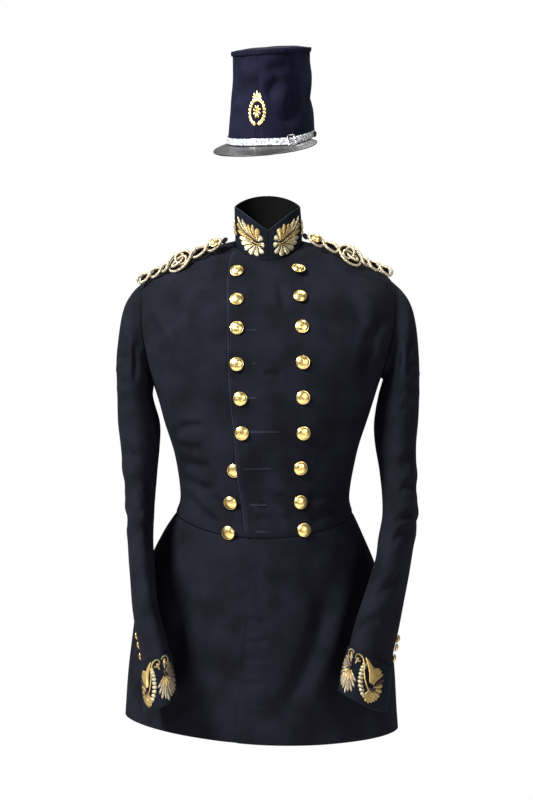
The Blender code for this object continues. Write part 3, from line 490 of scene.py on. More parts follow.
def foldLift(u, v, table):
    # soft troughs and ridges: each from one place to another, bowed sideways, with a ridge beside the trough
    lift = np.zeros(np.shape(u))
    for u0, v0, u1, v1, bow, width, depth, ridge in table:
        length = math.hypot(u1 - u0, v1 - v0)
        du, dv = (u1 - u0) / length, (v1 - v0) / length
        t = ((u - u0) * du + (v - v0) * dv) / length
        off = -(u - u0) * dv + (v - v0) * du - bow * 4 * t * (1 - t)
        shade = step(t, 0.0, 0.28) * step(1 - t, 0.0, 0.28)
        depth = depth * cloth["foldDepth"]
        lift = lift + shade * (-depth * np.exp(-(off / width) ** 2)
                               + depth * ridge * np.exp(-((off - 1.7 * width) / (1.1 * width)) ** 2)
                               + depth * 0.4 * ridge * np.exp(-((off + 1.9 * width) / (1.2 * width)) ** 2))
    return lift


def waver(points, size, height, seed=0.0):
    # the slight unevenness of handled cloth
    x, y, z = points[..., 0] / size, points[..., 1] / size, points[..., 2] / size
    return height * (np.sin(1.7 * x + 0.9 * z + seed) * np.cos(1.1 * z - 0.7 * y + 2 * seed)
                     + 0.5 * np.sin(3.1 * z + 1.9 * x - 1.3 * y + seed)
                     + 0.4 * np.cos(4.3 * x - 2.2 * z + 3 * seed))


# folds of the front, in sideways place and height: from, to, bow, width, depth, share of the ridge
frontFolds = (
    (-152, -306, -96, -298, 6, 8, 1.3, 0.6), (-150, -322, -100, -330, -5, 7, 1.1, 0.6),
    (-146, -345, -88, -360, -6, 8, 1.2, 0.5), (-140, -372, -84, -398, -6, 8, 1.3, 0.6),
    (-132, -398, -66, -452, -8, 7, 1.4, 0.7), (-124, -418, -70, -466, -6, 7, 1.0, 0.5),
    (-96, -402, -48, -462, 6, 7, 1.2, 0.6), (-18, -410, 32, -446, -5, 6, 1.3, 0.7),
    (-24, -438, 30, -456, 4, 6, 1.0, 0.6), (8, -402, 42, -420, 3, 6, 0.9, 0.5),
    (62, -416, 112, -398, 5, 9, 1.1, 0.5), (64, -452, 118, -424, 6, 9, 1.1, 0.5),
    (70, -360, 130, -340, 6, 9, 1.0, 0.5), (-8, -212, 22, -218, 2, 5, 0.9, 0.5),
    (14, -60, 24, -120, 3, 7, 1.0, 0.5), (-60, -170, -46, -230, 3, 9, 0.7, 0.4),
    (70, -90, 100, -170, 8, 12, 0.8, 0.4), (-196, -120, -160, -196, 8, 9, 1.5, 0.5),
    (190, -118, 158, -200, -8, 9, 1.4, 0.5), (-176, -150, -142, -236, 6, 8, 1.0, 0.5),
    (176, -158, 140, -240, -6, 8, 1.0, 0.5), (-120, -60, -150, -150, -8, 12, 0.9, 0.4),
    (118, -62, 150, -150, 8, 12, 0.9, 0.4),
)
skirtFolds = (
    (102, -516, 10, -765, 14, 15, 2.0, 0.6), (-110, -500, -150, -700, -10, 18, 1.8, 0.5),
    (150, -500, 172, -720, 8, 18, 1.8, 0.5), (-80, -480, -86, -640, 6, 16, 1.1, 0.4),
    (60, -490, 72, -600, 5, 14, 0.9, 0.4), (-40, -597, 8, -601, 2, 4, 0.6, 0.6),
    (-42, -630, 2, -628, -2, 4, 0.7, 0.6), (-44, -656, 6, -660, 2, 4, 0.5, 0.6),
    (-46, -696, 0, -694, -1, 5, 0.6, 0.6), (-44, -728, 4, -732, 2, 4, 0.5, 0.6),
    (-30, -500, -4, -640, 4, 9, 0.7, 0.4), (110, -700, 150, -560, -9, 16, 1.2, 0.5),
)
backFolds = (
    (-120, -330, -30, -392, -8, 10, 1.5, 0.5), (122, -322, 34, -398, 8, 10, 1.4, 0.5),
    (-110, -372, -24, -410, -5, 8, 1.1, 0.5), (112, -378, 28, -414, 6, 8, 1.2, 0.5),
    (-168, -120, -96, -230, 12, 14, 1.4, 0.5), (166, -126, 100, -226, -12, 14, 1.4, 0.5),
    (-60, -20, -30, -150, 6, 14, 0.8, 0.4), (62, -24, 26, -160, -6, 14, 0.8, 0.4),
)
backSkirtFolds = (
    (-22, -460, -40, -740, -8, 12, 2.2, 0.7), (24, -458, 44, -744, 8, 12, 2.2, 0.7),
    (-90, -480, -120, -730, -10, 16, 2.0, 0.6), (92, -482, 126, -726, 10, 16, 2.0, 0.6),
    (-150, -520, -172, -720, -6, 16, 1.4, 0.5), (150, -520, 176, -716, 6, 16, 1.4, 0.5),
)


def frontFold(points, row, angle):
    return foldLift(points[..., 0], points[..., 2], frontFolds) * step(-points[..., 1], 2,
                                                                       30) + waver(points, 46, 0.28)


def skirtFold(points, row, angle):
    calm = step(row, 0.0, 0.5)
    return calm * (foldLift(points[..., 0], points[..., 2],
                            skirtFolds) * step(-points[..., 1], 2, 30) + waver(points, 70, 0.5, 1.0))


def backFold(points, row, angle):
    return foldLift(points[..., 0], points[..., 2], backFolds) * step(points[..., 1], 2,
                                                                      30) + waver(points, 46, 0.28, 2.0)


def backSkirtFold(points, row, angle):
    calm = step(row, 0.0, 0.5)
    hidden = step(np.abs(angle), 100, 116)
    folded = foldLift(points[..., 0], points[..., 2], backSkirtFolds)
    return calm * hidden * (folded + waver(points, 70, 0.5, 3.0))


armholeRows = [6.0 - 2.0 * math.cos(math.pi * i / 60) for i in range(61)]
bodyRows = edged(spacedRows(bodyPoint, 20, (0, 1, 2, 3, 4), cloth["spacing"])[:-1] + armholeRows
                 + spacedRows(bodyPoint, 20, (8, 9, 10, 11, 12, 13), cloth["spacing"])[1:], bodyPoint, 20)
sideRows = edged([r for r in armholeRows if r > backSeamTop + 0.01]
                 + spacedRows(bodyPoint, 20, (8, 9, 10, 11, 12, 13), cloth["spacing"])[1:], bodyPoint, 100)
skirtMake = {"spacing": 4.1, "topRow": 0.022, "frontTo": 100.0, "backFrom": 86.0, "tuck": -2.9}
skirtRows = edged(spacedRows(skirtPoint, 20, (skirtMake["topRow"], 1, 2, 3, 4, 5), skirtMake["spacing"]),
                  skirtPoint, 20)

underlap = {"body": 58.0, "shareOfWidth": 0.5,
            "skirt": 40.0}   # how far the right front runs on under the left one
clothSheet("coatFrontLeft", bodyPoint, bodyRows, angleAt(body, bodyRows, eased(body["lap"], bodyRows)),
           nudge(bodyPoint, bodyRows, frontBound(bodyRows), -cloth["seamGap"] / 2), woolMelton,
           ("front_left",), lift=lambda r, a: overLift(body, r, a), folds=frontFold,
           seams="rb")
clothSheet("coatFrontRight", bodyPoint, bodyRows,
           nudge(bodyPoint, bodyRows, -frontBound(bodyRows), cloth["seamGap"] / 2),
           angleAt(body, bodyRows,
                   np.minimum(underlap["body"], underlap["shareOfWidth"] * eased(body["wide"], bodyRows))),
           woolMelton, ("front_right",), lift=lambda r, a: underLift(body, r, a),
           folds=frontFold, seams="lb")
clothSheet("coatSkirtLeft", skirtPoint, skirtRows, angleAt(skirt, skirtRows, eased(skirt["lap"], skirtRows)),
           skirtMake["frontTo"], woolMelton, ("skirt_left",),
           lift=lambda r, a: overLift(skirt, r, a), folds=skirtFold, seams="t")
clothSheet("coatSkirtRight", skirtPoint, skirtRows, -skirtMake["frontTo"],
           angleAt(skirt, skirtRows, underlap["skirt"] + 0 * skirtRows), woolMelton,
           ("skirt_right",),
           lift=lambda r, a: underLift(skirt, r, a), folds=skirtFold, seams="t")


def backSkirtLift(row, angle):
    # tucked under the front skirt at the side, and flared out behind it
    flared = step(np.abs(angle), skirtMake["frontTo"] + 0.5, 126)
    return skirtMake["tuck"] + (eased(skirt["flare"], row) - skirtMake["tuck"]) * flared


for side, label, title in ((1, "left", "Left"), (-1, "right", "Right")):

    def turned(start, end):
        return (start, end) if side > 0 else (-end, -start)

    inner = np.where(sideRows >= 8.0, 90.0, armholeMiddle(sideRows) + armholeHalf(sideRows))
    starts, ends = turned(nudge(bodyPoint, sideRows, inner, cloth["seamGap"] / 2),
                          nudge(bodyPoint, sideRows, backSeam(sideRows), -cloth["seamGap"] / 2))
    clothSheet("coatSideBody" + title, bodyPoint, sideRows, starts, ends, woolMelton,
               ("side_body_" + label,), folds=backFold, seams="lrb")
    starts, ends = turned(nudge(bodyPoint, bodyRows, backBound(bodyRows), cloth["seamGap"] / 2),
                          180.0 + 0 * bodyRows)
    clothSheet("coatBack" + title, bodyPoint, bodyRows, starts, ends, woolMelton, ("back_" + label,),
               folds=backFold, seams="lrb")
    starts, ends = turned(skirtMake["backFrom"] + 0 * skirtRows, 180.0 + 0 * skirtRows)
    clothSheet("coatBackSkirt" + title, skirtPoint, skirtRows, starts, ends, woolMelton,
               ("back_skirt_" + label,), lift=backSkirtLift, folds=backSkirtFold, seams="t")
print("body and skirts made")

collar = tableOf("side front back wide fore aft shift vee gap", (
    (7.5, -29.6, 25.4, 55.1, 57.0, 49.0, 1, 0.0, 1.2),
    (24, -14, 46, 55.1, 57.0, 53, 1, 0.3, 1.4),
    (44, 3, 68, 55.0, 56.8, 56, 0, 0.7, 1.8),
    (64, 20, 90, 54.4, 56.5, 59, -1, 1.0, 2.6),
))
collar["square"] = np.full(4, 2.0)


def collarPoint(row, angle):
    row, angle = np.broadcast_arrays(np.asarray(row, float), np.asarray(angle, float))
    s, c = np.sin(np.radians(angle)), np.cos(np.radians(angle))
    ahead = c > 0
    depth = np.where(ahead, eased(collar["fore"], row), eased(collar["aft"], row))
    end = np.where(ahead, eased(collar["front"], row), eased(collar["back"], row))
    vee = np.where(ahead, eased(collar["vee"], row), 0.0)
    fall = (1 - vee) * np.abs(c) ** 1.3 + vee * (1 - np.abs(s) ** 1.1)
    side = eased(collar["side"], row)
    return np.stack((eased(collar["wide"], row) * s + eased(collar["shift"], row), -depth * c,
                     side + (end - side) * fall), axis=-1)


collarMake = {"thickness": 2.0, "rowSpacing": 1.6, "spacing": 1.8, "footRow": -0.15, "frontGapShare": 0.12,
              "waver": 0.12}
collarRows = edged(spacedRows(collarPoint, 0, (collarMake["footRow"], 1, 2, 3), collarMake["rowSpacing"]),
                   collarPoint, 0)
gap = eased(collar["gap"], collarRows) * collarMake["frontGapShare"]
# the collar's inner faces are black: painted shade inside the opening
clothSheet("coatCollar", collarPoint, collarRows, angleAt(collar, collarRows, 1 + gap),
           360 + angleAt(collar, collarRows, 1 - gap), facingCloth, ("collar",),
           pitch=collarMake["spacing"], thick=collarMake["thickness"],
           folds=lambda p, r, a: waver(p, 18, collarMake["waver"]), sign=-1.0, inside=seamThreadAndShadeBlack)
print("collar made")

sleeveColumns = "x z y wide deep lean turn rise"
sleeves = {
    "left": tableOf(sleeveColumns, (
        (196, -135, 8, 6.0, 60, 78, 0, 0.00), (206, -146, 7, 16.0, 63, 71, 0, 0.00),
        (213.5, -159, 5, 23.0, 66, 60, 0, 0.00), (217, -178, 2, 27.5, 67, 44, 0, 0.00),
        (217.5, -205, 0, 31.0, 67, 25, 0, 0.02), (215, -243, -2, 34.0, 66, 7, 0, 0.04),
        (211, -289, -4, 36.0, 65, 1, 0, 0.08), (210, -330, -8, 33.5, 63, 0, 0, 0.14),
        (212.5, -369, -16, 30.0, 61, 0, 0, 0.22), (214.5, -408, -29, 28.5, 59, -2, 2, 0.32),
        (213.5, -447, -48, 28.8, 57, -4, 4, 0.42), (205, -484, -70, 28.5, 56, -5, 6, 0.45),
        (197.5, -521, -91, 27.0, 55, -6, 9, 0.44), (183, -570, -116, 28.5, 53, -6, 15, 0.42),
        (172, -606, -131, 28.5, 51, -8, 22, 0.37), (161, -645, -146, 28.0, 49, -11, 28, 0.31),
        (146, -718, -166, 31.0, 48, -14, 30, 0.25))),
    "right": tableOf(sleeveColumns, (
        (196, -135, 8, 6.0, 60, 78, 0, 0.00), (206, -146, 7, 16.0, 63, 71, 0, 0.00),
        (213.5, -159, 5, 23.0, 66, 60, 0, 0.00), (217, -178, 2, 27.5, 67, 44, 0, 0.00),
        (219, -205, 0, 30.0, 67, 25, 0, 0.02), (219, -243, -2, 29.5, 66, 7, 0, 0.04),
        (212.5, -289, -4, 34.3, 65, 1, 0, 0.08), (210, -330, -8, 31.8, 63, 0, 0, 0.14),
        (209.5, -369, -16, 28.0, 61, 0, 0, 0.22), (208.5, -408, -29, 24.5, 60, -1, 1, 0.30),
        (207, -447, -48, 22.4, 59, -1, 2, 0.38), (204.5, -484, -68, 20.4, 58, -1, 3, 0.40),
        (201, -521, -90, 20.0, 57, -2, 4, 0.40), (195, -570, -113, 20.0, 56, -2, 6, 0.36),
        (187.5, -608, -127, 20.2, 55, -4, 8, 0.29), (177, -650, -138, 21.0, 53, -8, 10, 0.22),
        (166.5, -725, -158, 24.0, 52, -11, 12, 0.15))),
}


def sleeveOval(label, row, turnRound):
    table, side = sleeves[label], 1 if label == "left" else -1
    c, s = np.cos(np.radians(turnRound)), np.sin(np.radians(turnRound))
    wide, deep, turn = eased(table["wide"], row), eased(table["deep"],
                                                        row), np.radians(eased(table["turn"], row))
    x = eased(table["x"], row) + c * wide * np.cos(turn) - s * deep * np.sin(turn)
    y = eased(table["y"], row) - c * wide * np.sin(turn) - s * deep * np.cos(turn)
    z = eased(table["z"], row) + c * eased(table["lean"], row) + s * deep * eased(table["rise"], row)
    return np.stack((side * x, y, z), axis=-1)


def armholePoint(label, turnRound):
    side = 1 if label == "left" else -1
    row = 6.0 - 2.0 * np.cos(np.radians(turnRound))
    return skin(bodyPoint, row, side * (armholeMiddle(row) - 25.0 * np.sin(np.radians(turnRound))),
                0.45 + 0 * row)


def sleevePoint(label, row, turnRound):
    row, turnRound = np.broadcast_arrays(np.asarray(row, float), np.asarray(turnRound, float))
    fade = np.interp(row, range(5), (1.0, 0.62, 0.30, 0.10, 0.0))[..., None]
    meet = armholePoint(label, turnRound) - sleeveOval(label, 0 * row, turnRound)
    return sleeveOval(label, row, turnRound) + fade * meet


def sleeveSkin(label, row, turnRound, lift):
    row, turnRound = np.broadcast_arrays(np.asarray(row, float), np.asarray(turnRound, float))
    e = 0.05
    low, high = np.maximum(row - e, 0), np.minimum(row + e, 16)
    down = sleevePoint(label, high, turnRound) - sleevePoint(label, low, turnRound)
    across = sleevePoint(label, row, turnRound + 2) - sleevePoint(label, row, turnRound - 2)
    side = 1 if label == "left" else -1
    outward = unit(np.cross(across, down)) * side
    return sleevePoint(label, row, turnRound) + outward * np.asarray(lift)[..., None]


# rows count down the sleeve from the armhole at 0 to the wrist at 16; the cuff is a second layer over its end
sleeveMake = {"rowSpacing": 4.0, "topRow": -0.08, "foldBow": 1.2, "rightFoldShare": 0.9,
              "cuffTop": 15.12, "cuffStand": 2.7, "cuffSpacing": 2.4, "cuffWaver": 0.1}


def hindSeam(row):
    return -67.5 + 27.5 * step(row, 0, 7)


def foreSeam(row):
    return 112.5 + 37.5 * step(row, 0, 7)


# folds of the sleeves: place round the sleeve in degrees, height; the same columns as the front's
sleeveFolds = (
    (20, -190, 75, -196, 4, 7, 1.2, 0.6), (10, -216, 80, -232, -5, 8, 1.1, 0.6),
    (30, -268, 95, -262, 5, 9, 1.0, 0.5), (60, -150, 72, -215, 4, 7, 1.2, 0.5),
    (88, -160, 100, -235, 4, 7, 1.2, 0.5), (40, -330, 100, -350, -6, 9, 1.2, 0.6),
    (30, -392, 105, -398, 6, 8, 1.4, 0.6), (35, -424, 110, -436, -6, 8, 1.5, 0.6),
    (25, -458, 100, -474, 6, 9, 1.3, 0.5), (40, -520, 96, -548, -5, 10, 1.0, 0.5),
    (50, -590, 110, -602, 5, 9, 0.9, 0.5), (-30, -380, 20, -402, 5, 10, 1.0, 0.5),
    (-20, -450, 24, -440, -5, 10, 1.0, 0.5), (200, -360, 290, -372, 6, 10, 1.2, 0.5),
    (190, -420, 280, -446, -6, 9, 1.4, 0.5), (200, -482, 290, -470, 6, 10, 1.2, 0.5),
    (210, -560, 280, -580, -6, 11, 0.9, 0.5), (190, -240, 250, -262, 5, 9, 1.0, 0.5),
)

for side, label, title in ((1, "left", "Left"), (-1, "right", "Right")):

    def form(row, turn, label=label):
        return sleevePoint(label, row, turn)

    def sleeveFold(points, row, turn, side=side):
        # degrees become millimetres round the arm at 0.8 each
        share = 1 if side > 0 else sleeveMake["rightFoldShare"]
        table = [(a * 0.8, z, b * 0.8, y, bow * sleeveMake["foldBow"], width, depth * share, ridge)
                 for a, z, b, y, bow, width, depth, ridge in sleeveFolds]
        calm = step(row, 0.15, 1.2) * (1 - step(row, 14.6, 15.1))
        folded = foldLift(turn * 0.8, points[..., 2] + 4 * side, table)
        return calm * (folded + waver(points, 40, 0.35, 4.0 + side))

    def cuffForm(row, turn, label=label):
        return sleeveSkin(label, row, turn, 0 * turn + sleeveMake["cuffStand"])

    marks = (sleeveMake["topRow"], 1, 2, 3, 4, 6, 8, 10, 12, 14, 16)
    topRows = edged(spacedRows(form, 30, marks, sleeveMake["rowSpacing"]), form, 30)

    edge = math.degrees(cloth["seamGap"] / 2 / 45)
    clothSheet("sleeveTop" + title, form, topRows, hindSeam(topRows) + edge, foreSeam(topRows) - edge,
               woolMelton, ("sleeve_top_" + label,), folds=sleeveFold, seams="lrt", sign=-side)
    clothSheet("sleeveUnder" + title, form, topRows, foreSeam(topRows) + edge,
               hindSeam(topRows) + 360 - edge, woolMelton,
               ("sleeve_under_" + label,), folds=sleeveFold, seams="lrt", sign=-side)
    marks = (sleeveMake["cuffTop"], 15.55, 16.0)
    cuffRows = edged(spacedRows(cuffForm, 30, marks, sleeveMake["cuffSpacing"]), cuffForm, 30)
    clothSheet("cuff" + title, cuffForm, cuffRows, hindSeam(16.0) + 0.4, hindSeam(16.0) + 359.6, facingCloth,
               ("cuff_" + label,), pitch=sleeveMake["cuffSpacing"],
               folds=lambda p, r, a: waver(p, 18, sleeveMake["cuffWaver"]), sign=-side)
print("sleeves made")


def lathePiece(name, centre, normal, profile, sides, relief, material, nodes):
    # profile: share of the radius and height in mm; relief(share, turn) is added to the height
    normal = unit(normal)
    across = unit(np.cross(normal, (0.0, 0.13, 1.0)))
    up = np.cross(across, normal)
    turns = np.linspace(0, 2 * math.pi, sides, endpoint=False)
    rings = []
    for radius, height in profile:
        spun = across * np.cos(turns)[:, None] + up * np.sin(turns)[:, None]
        level = height + relief(radius, turns)
        rings.append(centre + spun * radius + normal * level[:, None])
    points = np.array(rings)
    index = np.arange(points.shape[0] * sides).reshape(-1, sides)
    faces = gridFaces(index, closed=True)
    return addMesh(name, points, faces[:, ::-1], material, nodes,
                   np.stack(np.broadcast_arrays(turns * 5, np.array([p[0] for p in profile])[:, None]),
                            axis=-1).reshape(-1, 2))


def buttonProfile(radius, height):
    rows = [(0.02, 0.0), (0.86, 0.0), (0.97, 0.12), (1.0, 0.26), (0.985, 0.36), (0.94, 0.42), (0.90, 0.41)]
    for i in range(13):
        share = 0.88 * (1 - i / 12.4)
        rows.append((share, 0.42 + 0.58 * (1 - (share / 0.88) ** 2) ** 0.7))
    rows.append((0.003, 1.0))
    return [(radius * r, height * h) for r, h in rows]


def buttonRelief(radius, height):
    # a beaded rim and a plain eight-rayed rosette
    def relief(r, turns):
        share = r / radius
        beads = 0.03 * height * math.exp(-((share - 0.93) / 0.035) ** 2) * np.cos(32 * turns)
        rays = 0.025 * height * math.exp(-((share - 0.36) / 0.16) ** 2) * np.cos(8 * turns)
        ringed = 0.035 * height * math.exp(-((share - 0.66) / 0.03) ** 2)
        return beads + rays + ringed + 0 * turns
    return relief


buttonSizes = {   # radius and height in millimetres, and points round
    "front": (11.0, 6.2, 64), "cuff": (6.6, 4.6, 48), "shoulder": (7.6, 5.6, 48), "stud": (5.6, 4.0, 40),
}


def addButton(name, size, foot, normal, node, material=giltBrass):
    radius, height, sides = buttonSizes[size]
    lathePiece(name, foot, normal, buttonProfile(radius, height), sides, buttonRelief(radius, height),
               material, (node,))


# each front button's place across and up, and how far it tips outwards and down where the cloth is slack
frontButtons = {
    "left": ((48, -46, 0.10, -0.45), (50.5, -91, 0.05, -0.15), (53.5, -139, 0, 0), (54.5, -195, 0, 0),
             (54.5, -250, 0, 0), (55, -306, 0, 0), (50.5, -361, 0, 0), (50, -415, 0.06, 0),
             (55.5, -459, 0, 0)),
    "right": ((-50, -48, 0, 0), (-49.5, -95, 0, 0), (-49, -141, 0, 0), (-49, -198, 0, 0), (-43.5, -252, 0, 0),
              (-41, -306, 0, 0), (-53.5, -365, -0.08, 0.12), (-58.5, -416, -0.12, 0.30),
              (-61.5, -463, -0.12, 0.25)),
}


def findPlace(table, surface, x, z, last):
    # the row and the angle that a form has at this place across and up, by halving
    low, high = np.zeros(np.shape(x)), np.full(np.shape(x), float(last))
    for _ in range(40):
        middle = (low + high) / 2
        above = surface(middle, angleAt(table, middle, x))[..., 2] > z
        low, high = np.where(above, middle, low), np.where(above, high, middle)
    return low, angleAt(table, low, x)


for label, places in frontButtons.items():
    for n, (x, z, tipSide, tipDown) in enumerate(places):
        row, angle = findPlace(body, bodyPoint, x, z, 13.0)
        lift = overLift(body, row, angle) if label == "left" or n < 6 else underLift(body, row, angle)
        foot = skin(bodyPoint, row, angle, lift)
        normal = unit(skin(bodyPoint, row, angle, lift + 1) - foot)
        tipped = unit(normal + np.array((tipSide, 0, -tipDown)))
        # a tipped button stands further off, clear of the cloth
        stand = 0.5 + buttonSizes["front"][0] * 0.88 * float(np.linalg.norm(tipped - normal))
        addButton("button%s%d" % (label.title(), n + 1), "front", foot + normal * stand, tipped,
                  "button_%s_%d" % (label, n + 1))
for label in ("left", "right"):
    for n, row in enumerate((14.18, 14.55, 14.92)):
        foot = sleeveSkin(label, row, hindSeam(row), 0.9)
        normal = sleeveSkin(label, row, hindSeam(row), 2) - foot
        addButton("cuffButton%s%d" % (label.title(), n + 1), "cuff", foot, normal,
                  "cuff_button_%s_%d" % (label, n + 1))
print("buttons made")


class Stitched:
    # the raised forms of one spray, gathered into one mesh
    def __init__(self, place):
        self.place, self.points, self.faces, self.uv, self.which, self.count = place, [], [], [], [], 0

    def add(self, points, uv, which):
        index = np.arange(points.shape[0] * points.shape[1]).reshape(points.shape[:2]) + self.count
        faces = gridFaces(index)
        self.points.append(points.reshape(-1, 3))
        self.uv.append(uv.reshape(-1, 2))
        self.faces.append(faces)
        self.which += [which] * len(faces)
        self.count += index.size

    def lobe(self, base, tip, wide, rise=1.7, bow=0.0, which=0, root=0.35, blunt=0.72, low=0.35):
        # a padded lobe from its narrow root to its round tip
        # root: breadth at the root as a share of the full breadth; blunt: where its round tip begins
        base, tip = np.array(base, float), np.array(tip, float)
        length = np.linalg.norm(tip - base)
        ahead = (tip - base) / length
        aside = np.array((-ahead[1], ahead[0]))
        t = np.concatenate((np.linspace(0, 0.8, 9),
                            0.8 + 0.2 * np.sin(np.linspace(0.2, 1, 6) * math.pi / 2)))[:, None]
        across = np.linspace(-1, 1, 11)[None]
        full = root + (1 - root) * step(t, 0.0, blunt)
        cap = np.sqrt(np.maximum(0.0, 1 - np.maximum(0, (t - blunt) / (1 - blunt + 1e-6)) ** 2))
        half = wide / 2 * full * cap + 0.02
        reach = length * t
        swing = bow * 4 * t * (1 - t)
        u = base[0] + ahead[0] * reach + aside[0] * (across * half + swing)
        v = base[1] + ahead[1] * reach + aside[1] * (across * half + swing)
        dome = np.sqrt(np.maximum(0, 1 - np.abs(across) ** 2.2)) * (0.55 + 0.45 * step(t, 0, 0.5)) * cap
        points = self.place(u, v, low + rise * dome)
        uv = np.stack(np.broadcast_arrays(reach + 0.6 * np.abs(across) * half, across * half), axis=-1)
        self.add(points, uv, which)

    def strand(self, path, radius, which=0, level=0.9):
        # a round gold thread laid along a path of u, v
        path = np.array(path, float)
        place = np.linspace(0, len(path) - 1, 6 * len(path))
        u, v = eased(path[:, 0], place), eased(path[:, 1], place)
        du, dv = np.gradient(u), np.gradient(v)
        size = np.maximum(np.hypot(du, dv), 1e-6)
        turns = np.linspace(-0.15 * math.pi, 1.15 * math.pi, 9)[None]
        out, up = np.cos(turns) * radius, np.sin(turns) * radius
        points = self.place(u[:, None] - (dv / size)[:, None] * out, v[:, None] + (du / size)[:, None] * out,
                            level + up)
        run = np.cumsum(size)[:, None]
        self.add(points, np.stack(np.broadcast_arrays(run + 0.5 * out, out), axis=-1), which)

    def finish(self, name, materials, nodes=()):
        # which picks each form's material from these
        return addMesh(name, np.concatenate(self.points), np.concatenate(self.faces), materials, nodes,
                       np.concatenate(self.uv), which=self.which)


def collarPlace(side, along, height, lift):
    # along runs from the front edge round the collar, height is above the collar's seam
    # the collar is taller behind than in front
    row = 3.0 * height / (52.0 + 14.0 * np.minimum(along / 55.0, 1.3))
    return skin(collarPoint, row, 1.0 + side * np.degrees(along / 56.0), lift + 0 * row, -1.0)


# collar spray in millimetres from the collar's front edge and above its seam; a second leaf begins at farFrom
collarSpray = {"heart": (20.0, 27.0), "farHeart": (74.0, 30.0), "farFrom": 70.0, "bow": 1.2,
               "rise": (1.9, 1.6), "rootShare": (0.24, 0.16)}
collarLobes = (   # tip, breadth, bow, thread (0 silver, 1 gold)
    (10.5, 38.5, 8.0, 0, 0), (7.0, 25.5, 8.2, 0, 0), (10.5, 11.5, 8.4, 0, 0), (21.5, 5.0, 8.4, 0, 0),
    (34.0, 4.6, 8.4, 0, 0), (44.5, 7.5, 8.2, 1, 0), (53.0, 14.0, 8.0, 1.5, 0), (58.5, 21.5, 7.6, 1.5, 0),
    (17.5, 48.0, 8.6, -1, 1), (27.5, 51.0, 6.4, -1.5, 1), (36.0, 49.0, 5.2, -2, 1),
    (43.5, 49.0, 5.0, -2, 1), (49.5, 53.0, 5.2, -2.5, 0), (63.0, 55.0, 5.2, -3, 0),
    (66.0, 43.0, 5.0, -2, 1), (64.5, 32.0, 5.2, 0.5, 1), (84, 20, 6.4, 1, 0), (88, 33, 6.4, 0, 1),
    (84, 46, 6.0, -1, 0), (96, 26, 6.0, 1, 1), (97, 40, 6.0, -1, 0),
)
for side, label in ((1, "left"), (-1, "right")):
    spray = Stitched(lambda u, v, lift, side=side: collarPlace(side, u, v, lift))
    for n, (along, height, wide, bow, which) in enumerate(collarLobes):
        heart = np.array(collarSpray["heart" if along < collarSpray["farFrom"] else "farHeart"])
        tip = np.array((along, height))
        root = heart + (tip - heart) * collarSpray["rootShare"][which]
        spray.lobe(root, tip, wide, collarSpray["rise"][which], bow * collarSpray["bow"], which, root=0.28)
    for along, height in ((22, 33), (30, 35), (37, 35.5)):
        spray.lobe((along, height), (along + 5, height + 7), 3.6, 1.2, 0.4, 1)
    spray.strand(((12, 27), (20, 25.5), (30, 28), (40, 32), (50, 37), (60, 44)), 1.0, 1, 1.6)
    spray.strand(((15, 24), (24, 22.5), (34, 25), (44, 29)), 0.8, 1, 1.6)
    spray.lobe((20, 28), (42, 34.5), 2.6, 0.9, 1.6, 2, root=0.5, low=1.5)
    spray.strand(((66, 24), (72, 29), (80, 31), (90, 34)), 1.0, 1, 1.6)
    spray.finish("collarSpray" + label.title(), [silverPurl, goldPurl, redThread],
                 ("collar_spray_" + label,))

# cuff spray in millimetres round the cuff from its front fold towards the hind seam, and up from its middle
cuffSpray = {"leafHub": (33.0, -8.0), "palmHub": (-4.0, 6.0), "rootShare": 0.2, "rise": 1.7, "bow": 1.1,
             "middleRow": 15.56, "rowLength": 74.0, "foldTurn": 90.0}
leafLobes = (   # tip round and up, breadth, bow, thread (0 dull silver, 1 gold, 2 red, 3 bright silver)
    (57, 16, 5.0, 2, 1), (52, 20, 4.6, 1.5, 1), (47, 22, 4.6, 1.5, 1), (42, 21, 4.6, 1, 1),
    (37, 20, 4.4, 0, 1), (32, 21, 4.6, -1, 1), (27, 24, 4.8, -1.5, 1), (22, 27, 5.0, -2, 1),
    (17, 29, 5.0, -3, 1), (62, 9, 5.4, 1, 2), (60, 1, 5.6, 0, 1), (60, -7, 5.6, 0, 1),
    (56, -14, 5.6, -1, 1), (51, -19, 5.6, -1, 1), (45, -23, 5.6, -1, 1), (39, -26, 5.4, 0, 1),
    (33, -28, 5.4, 0, 1), (27, -27, 5.4, 1, 1), (22, -23, 5.4, 1, 1),
)
leafBeads = ((20, -19), (16.5, -15), (14, -10.5), (12.5, -5.5), (12, -0.5), (12, 4.5), (12.5, 9.5),
             (13.5, 14), (15, 18.5))
palmLobes = (
    (-16, 22, 4.6, 1, 0), (-22, 19, 4.6, 1, 0), (-27, 13, 4.6, 1, 0), (-31, 7, 4.6, 1, 0),
    (-34, 0, 4.8, 1, 0), (-34, -8, 4.8, 1, 0), (-30, -15, 4.8, 1, 0), (-25, -20, 4.8, 0.5, 0),
    (-19, -23, 4.6, 0.5, 0), (-13, -25, 4.6, 0, 0), (-7, -29, 4.4, 0, 0), (-2, -25, 4.4, -0.5, 0),
    (4, -23, 4.4, -1, 0), (7, -16, 4.4, -1, 0), (8, -8, 4.4, -1, 0), (-16, -2, 3.4, 1, 1),
    (-12, -10, 3.4, 0.5, 1), (-6, -12, 3.4, 0, 1), (0, -9, 3.4, -0.5, 1), (3, -2, 3.4, -1, 1),
)
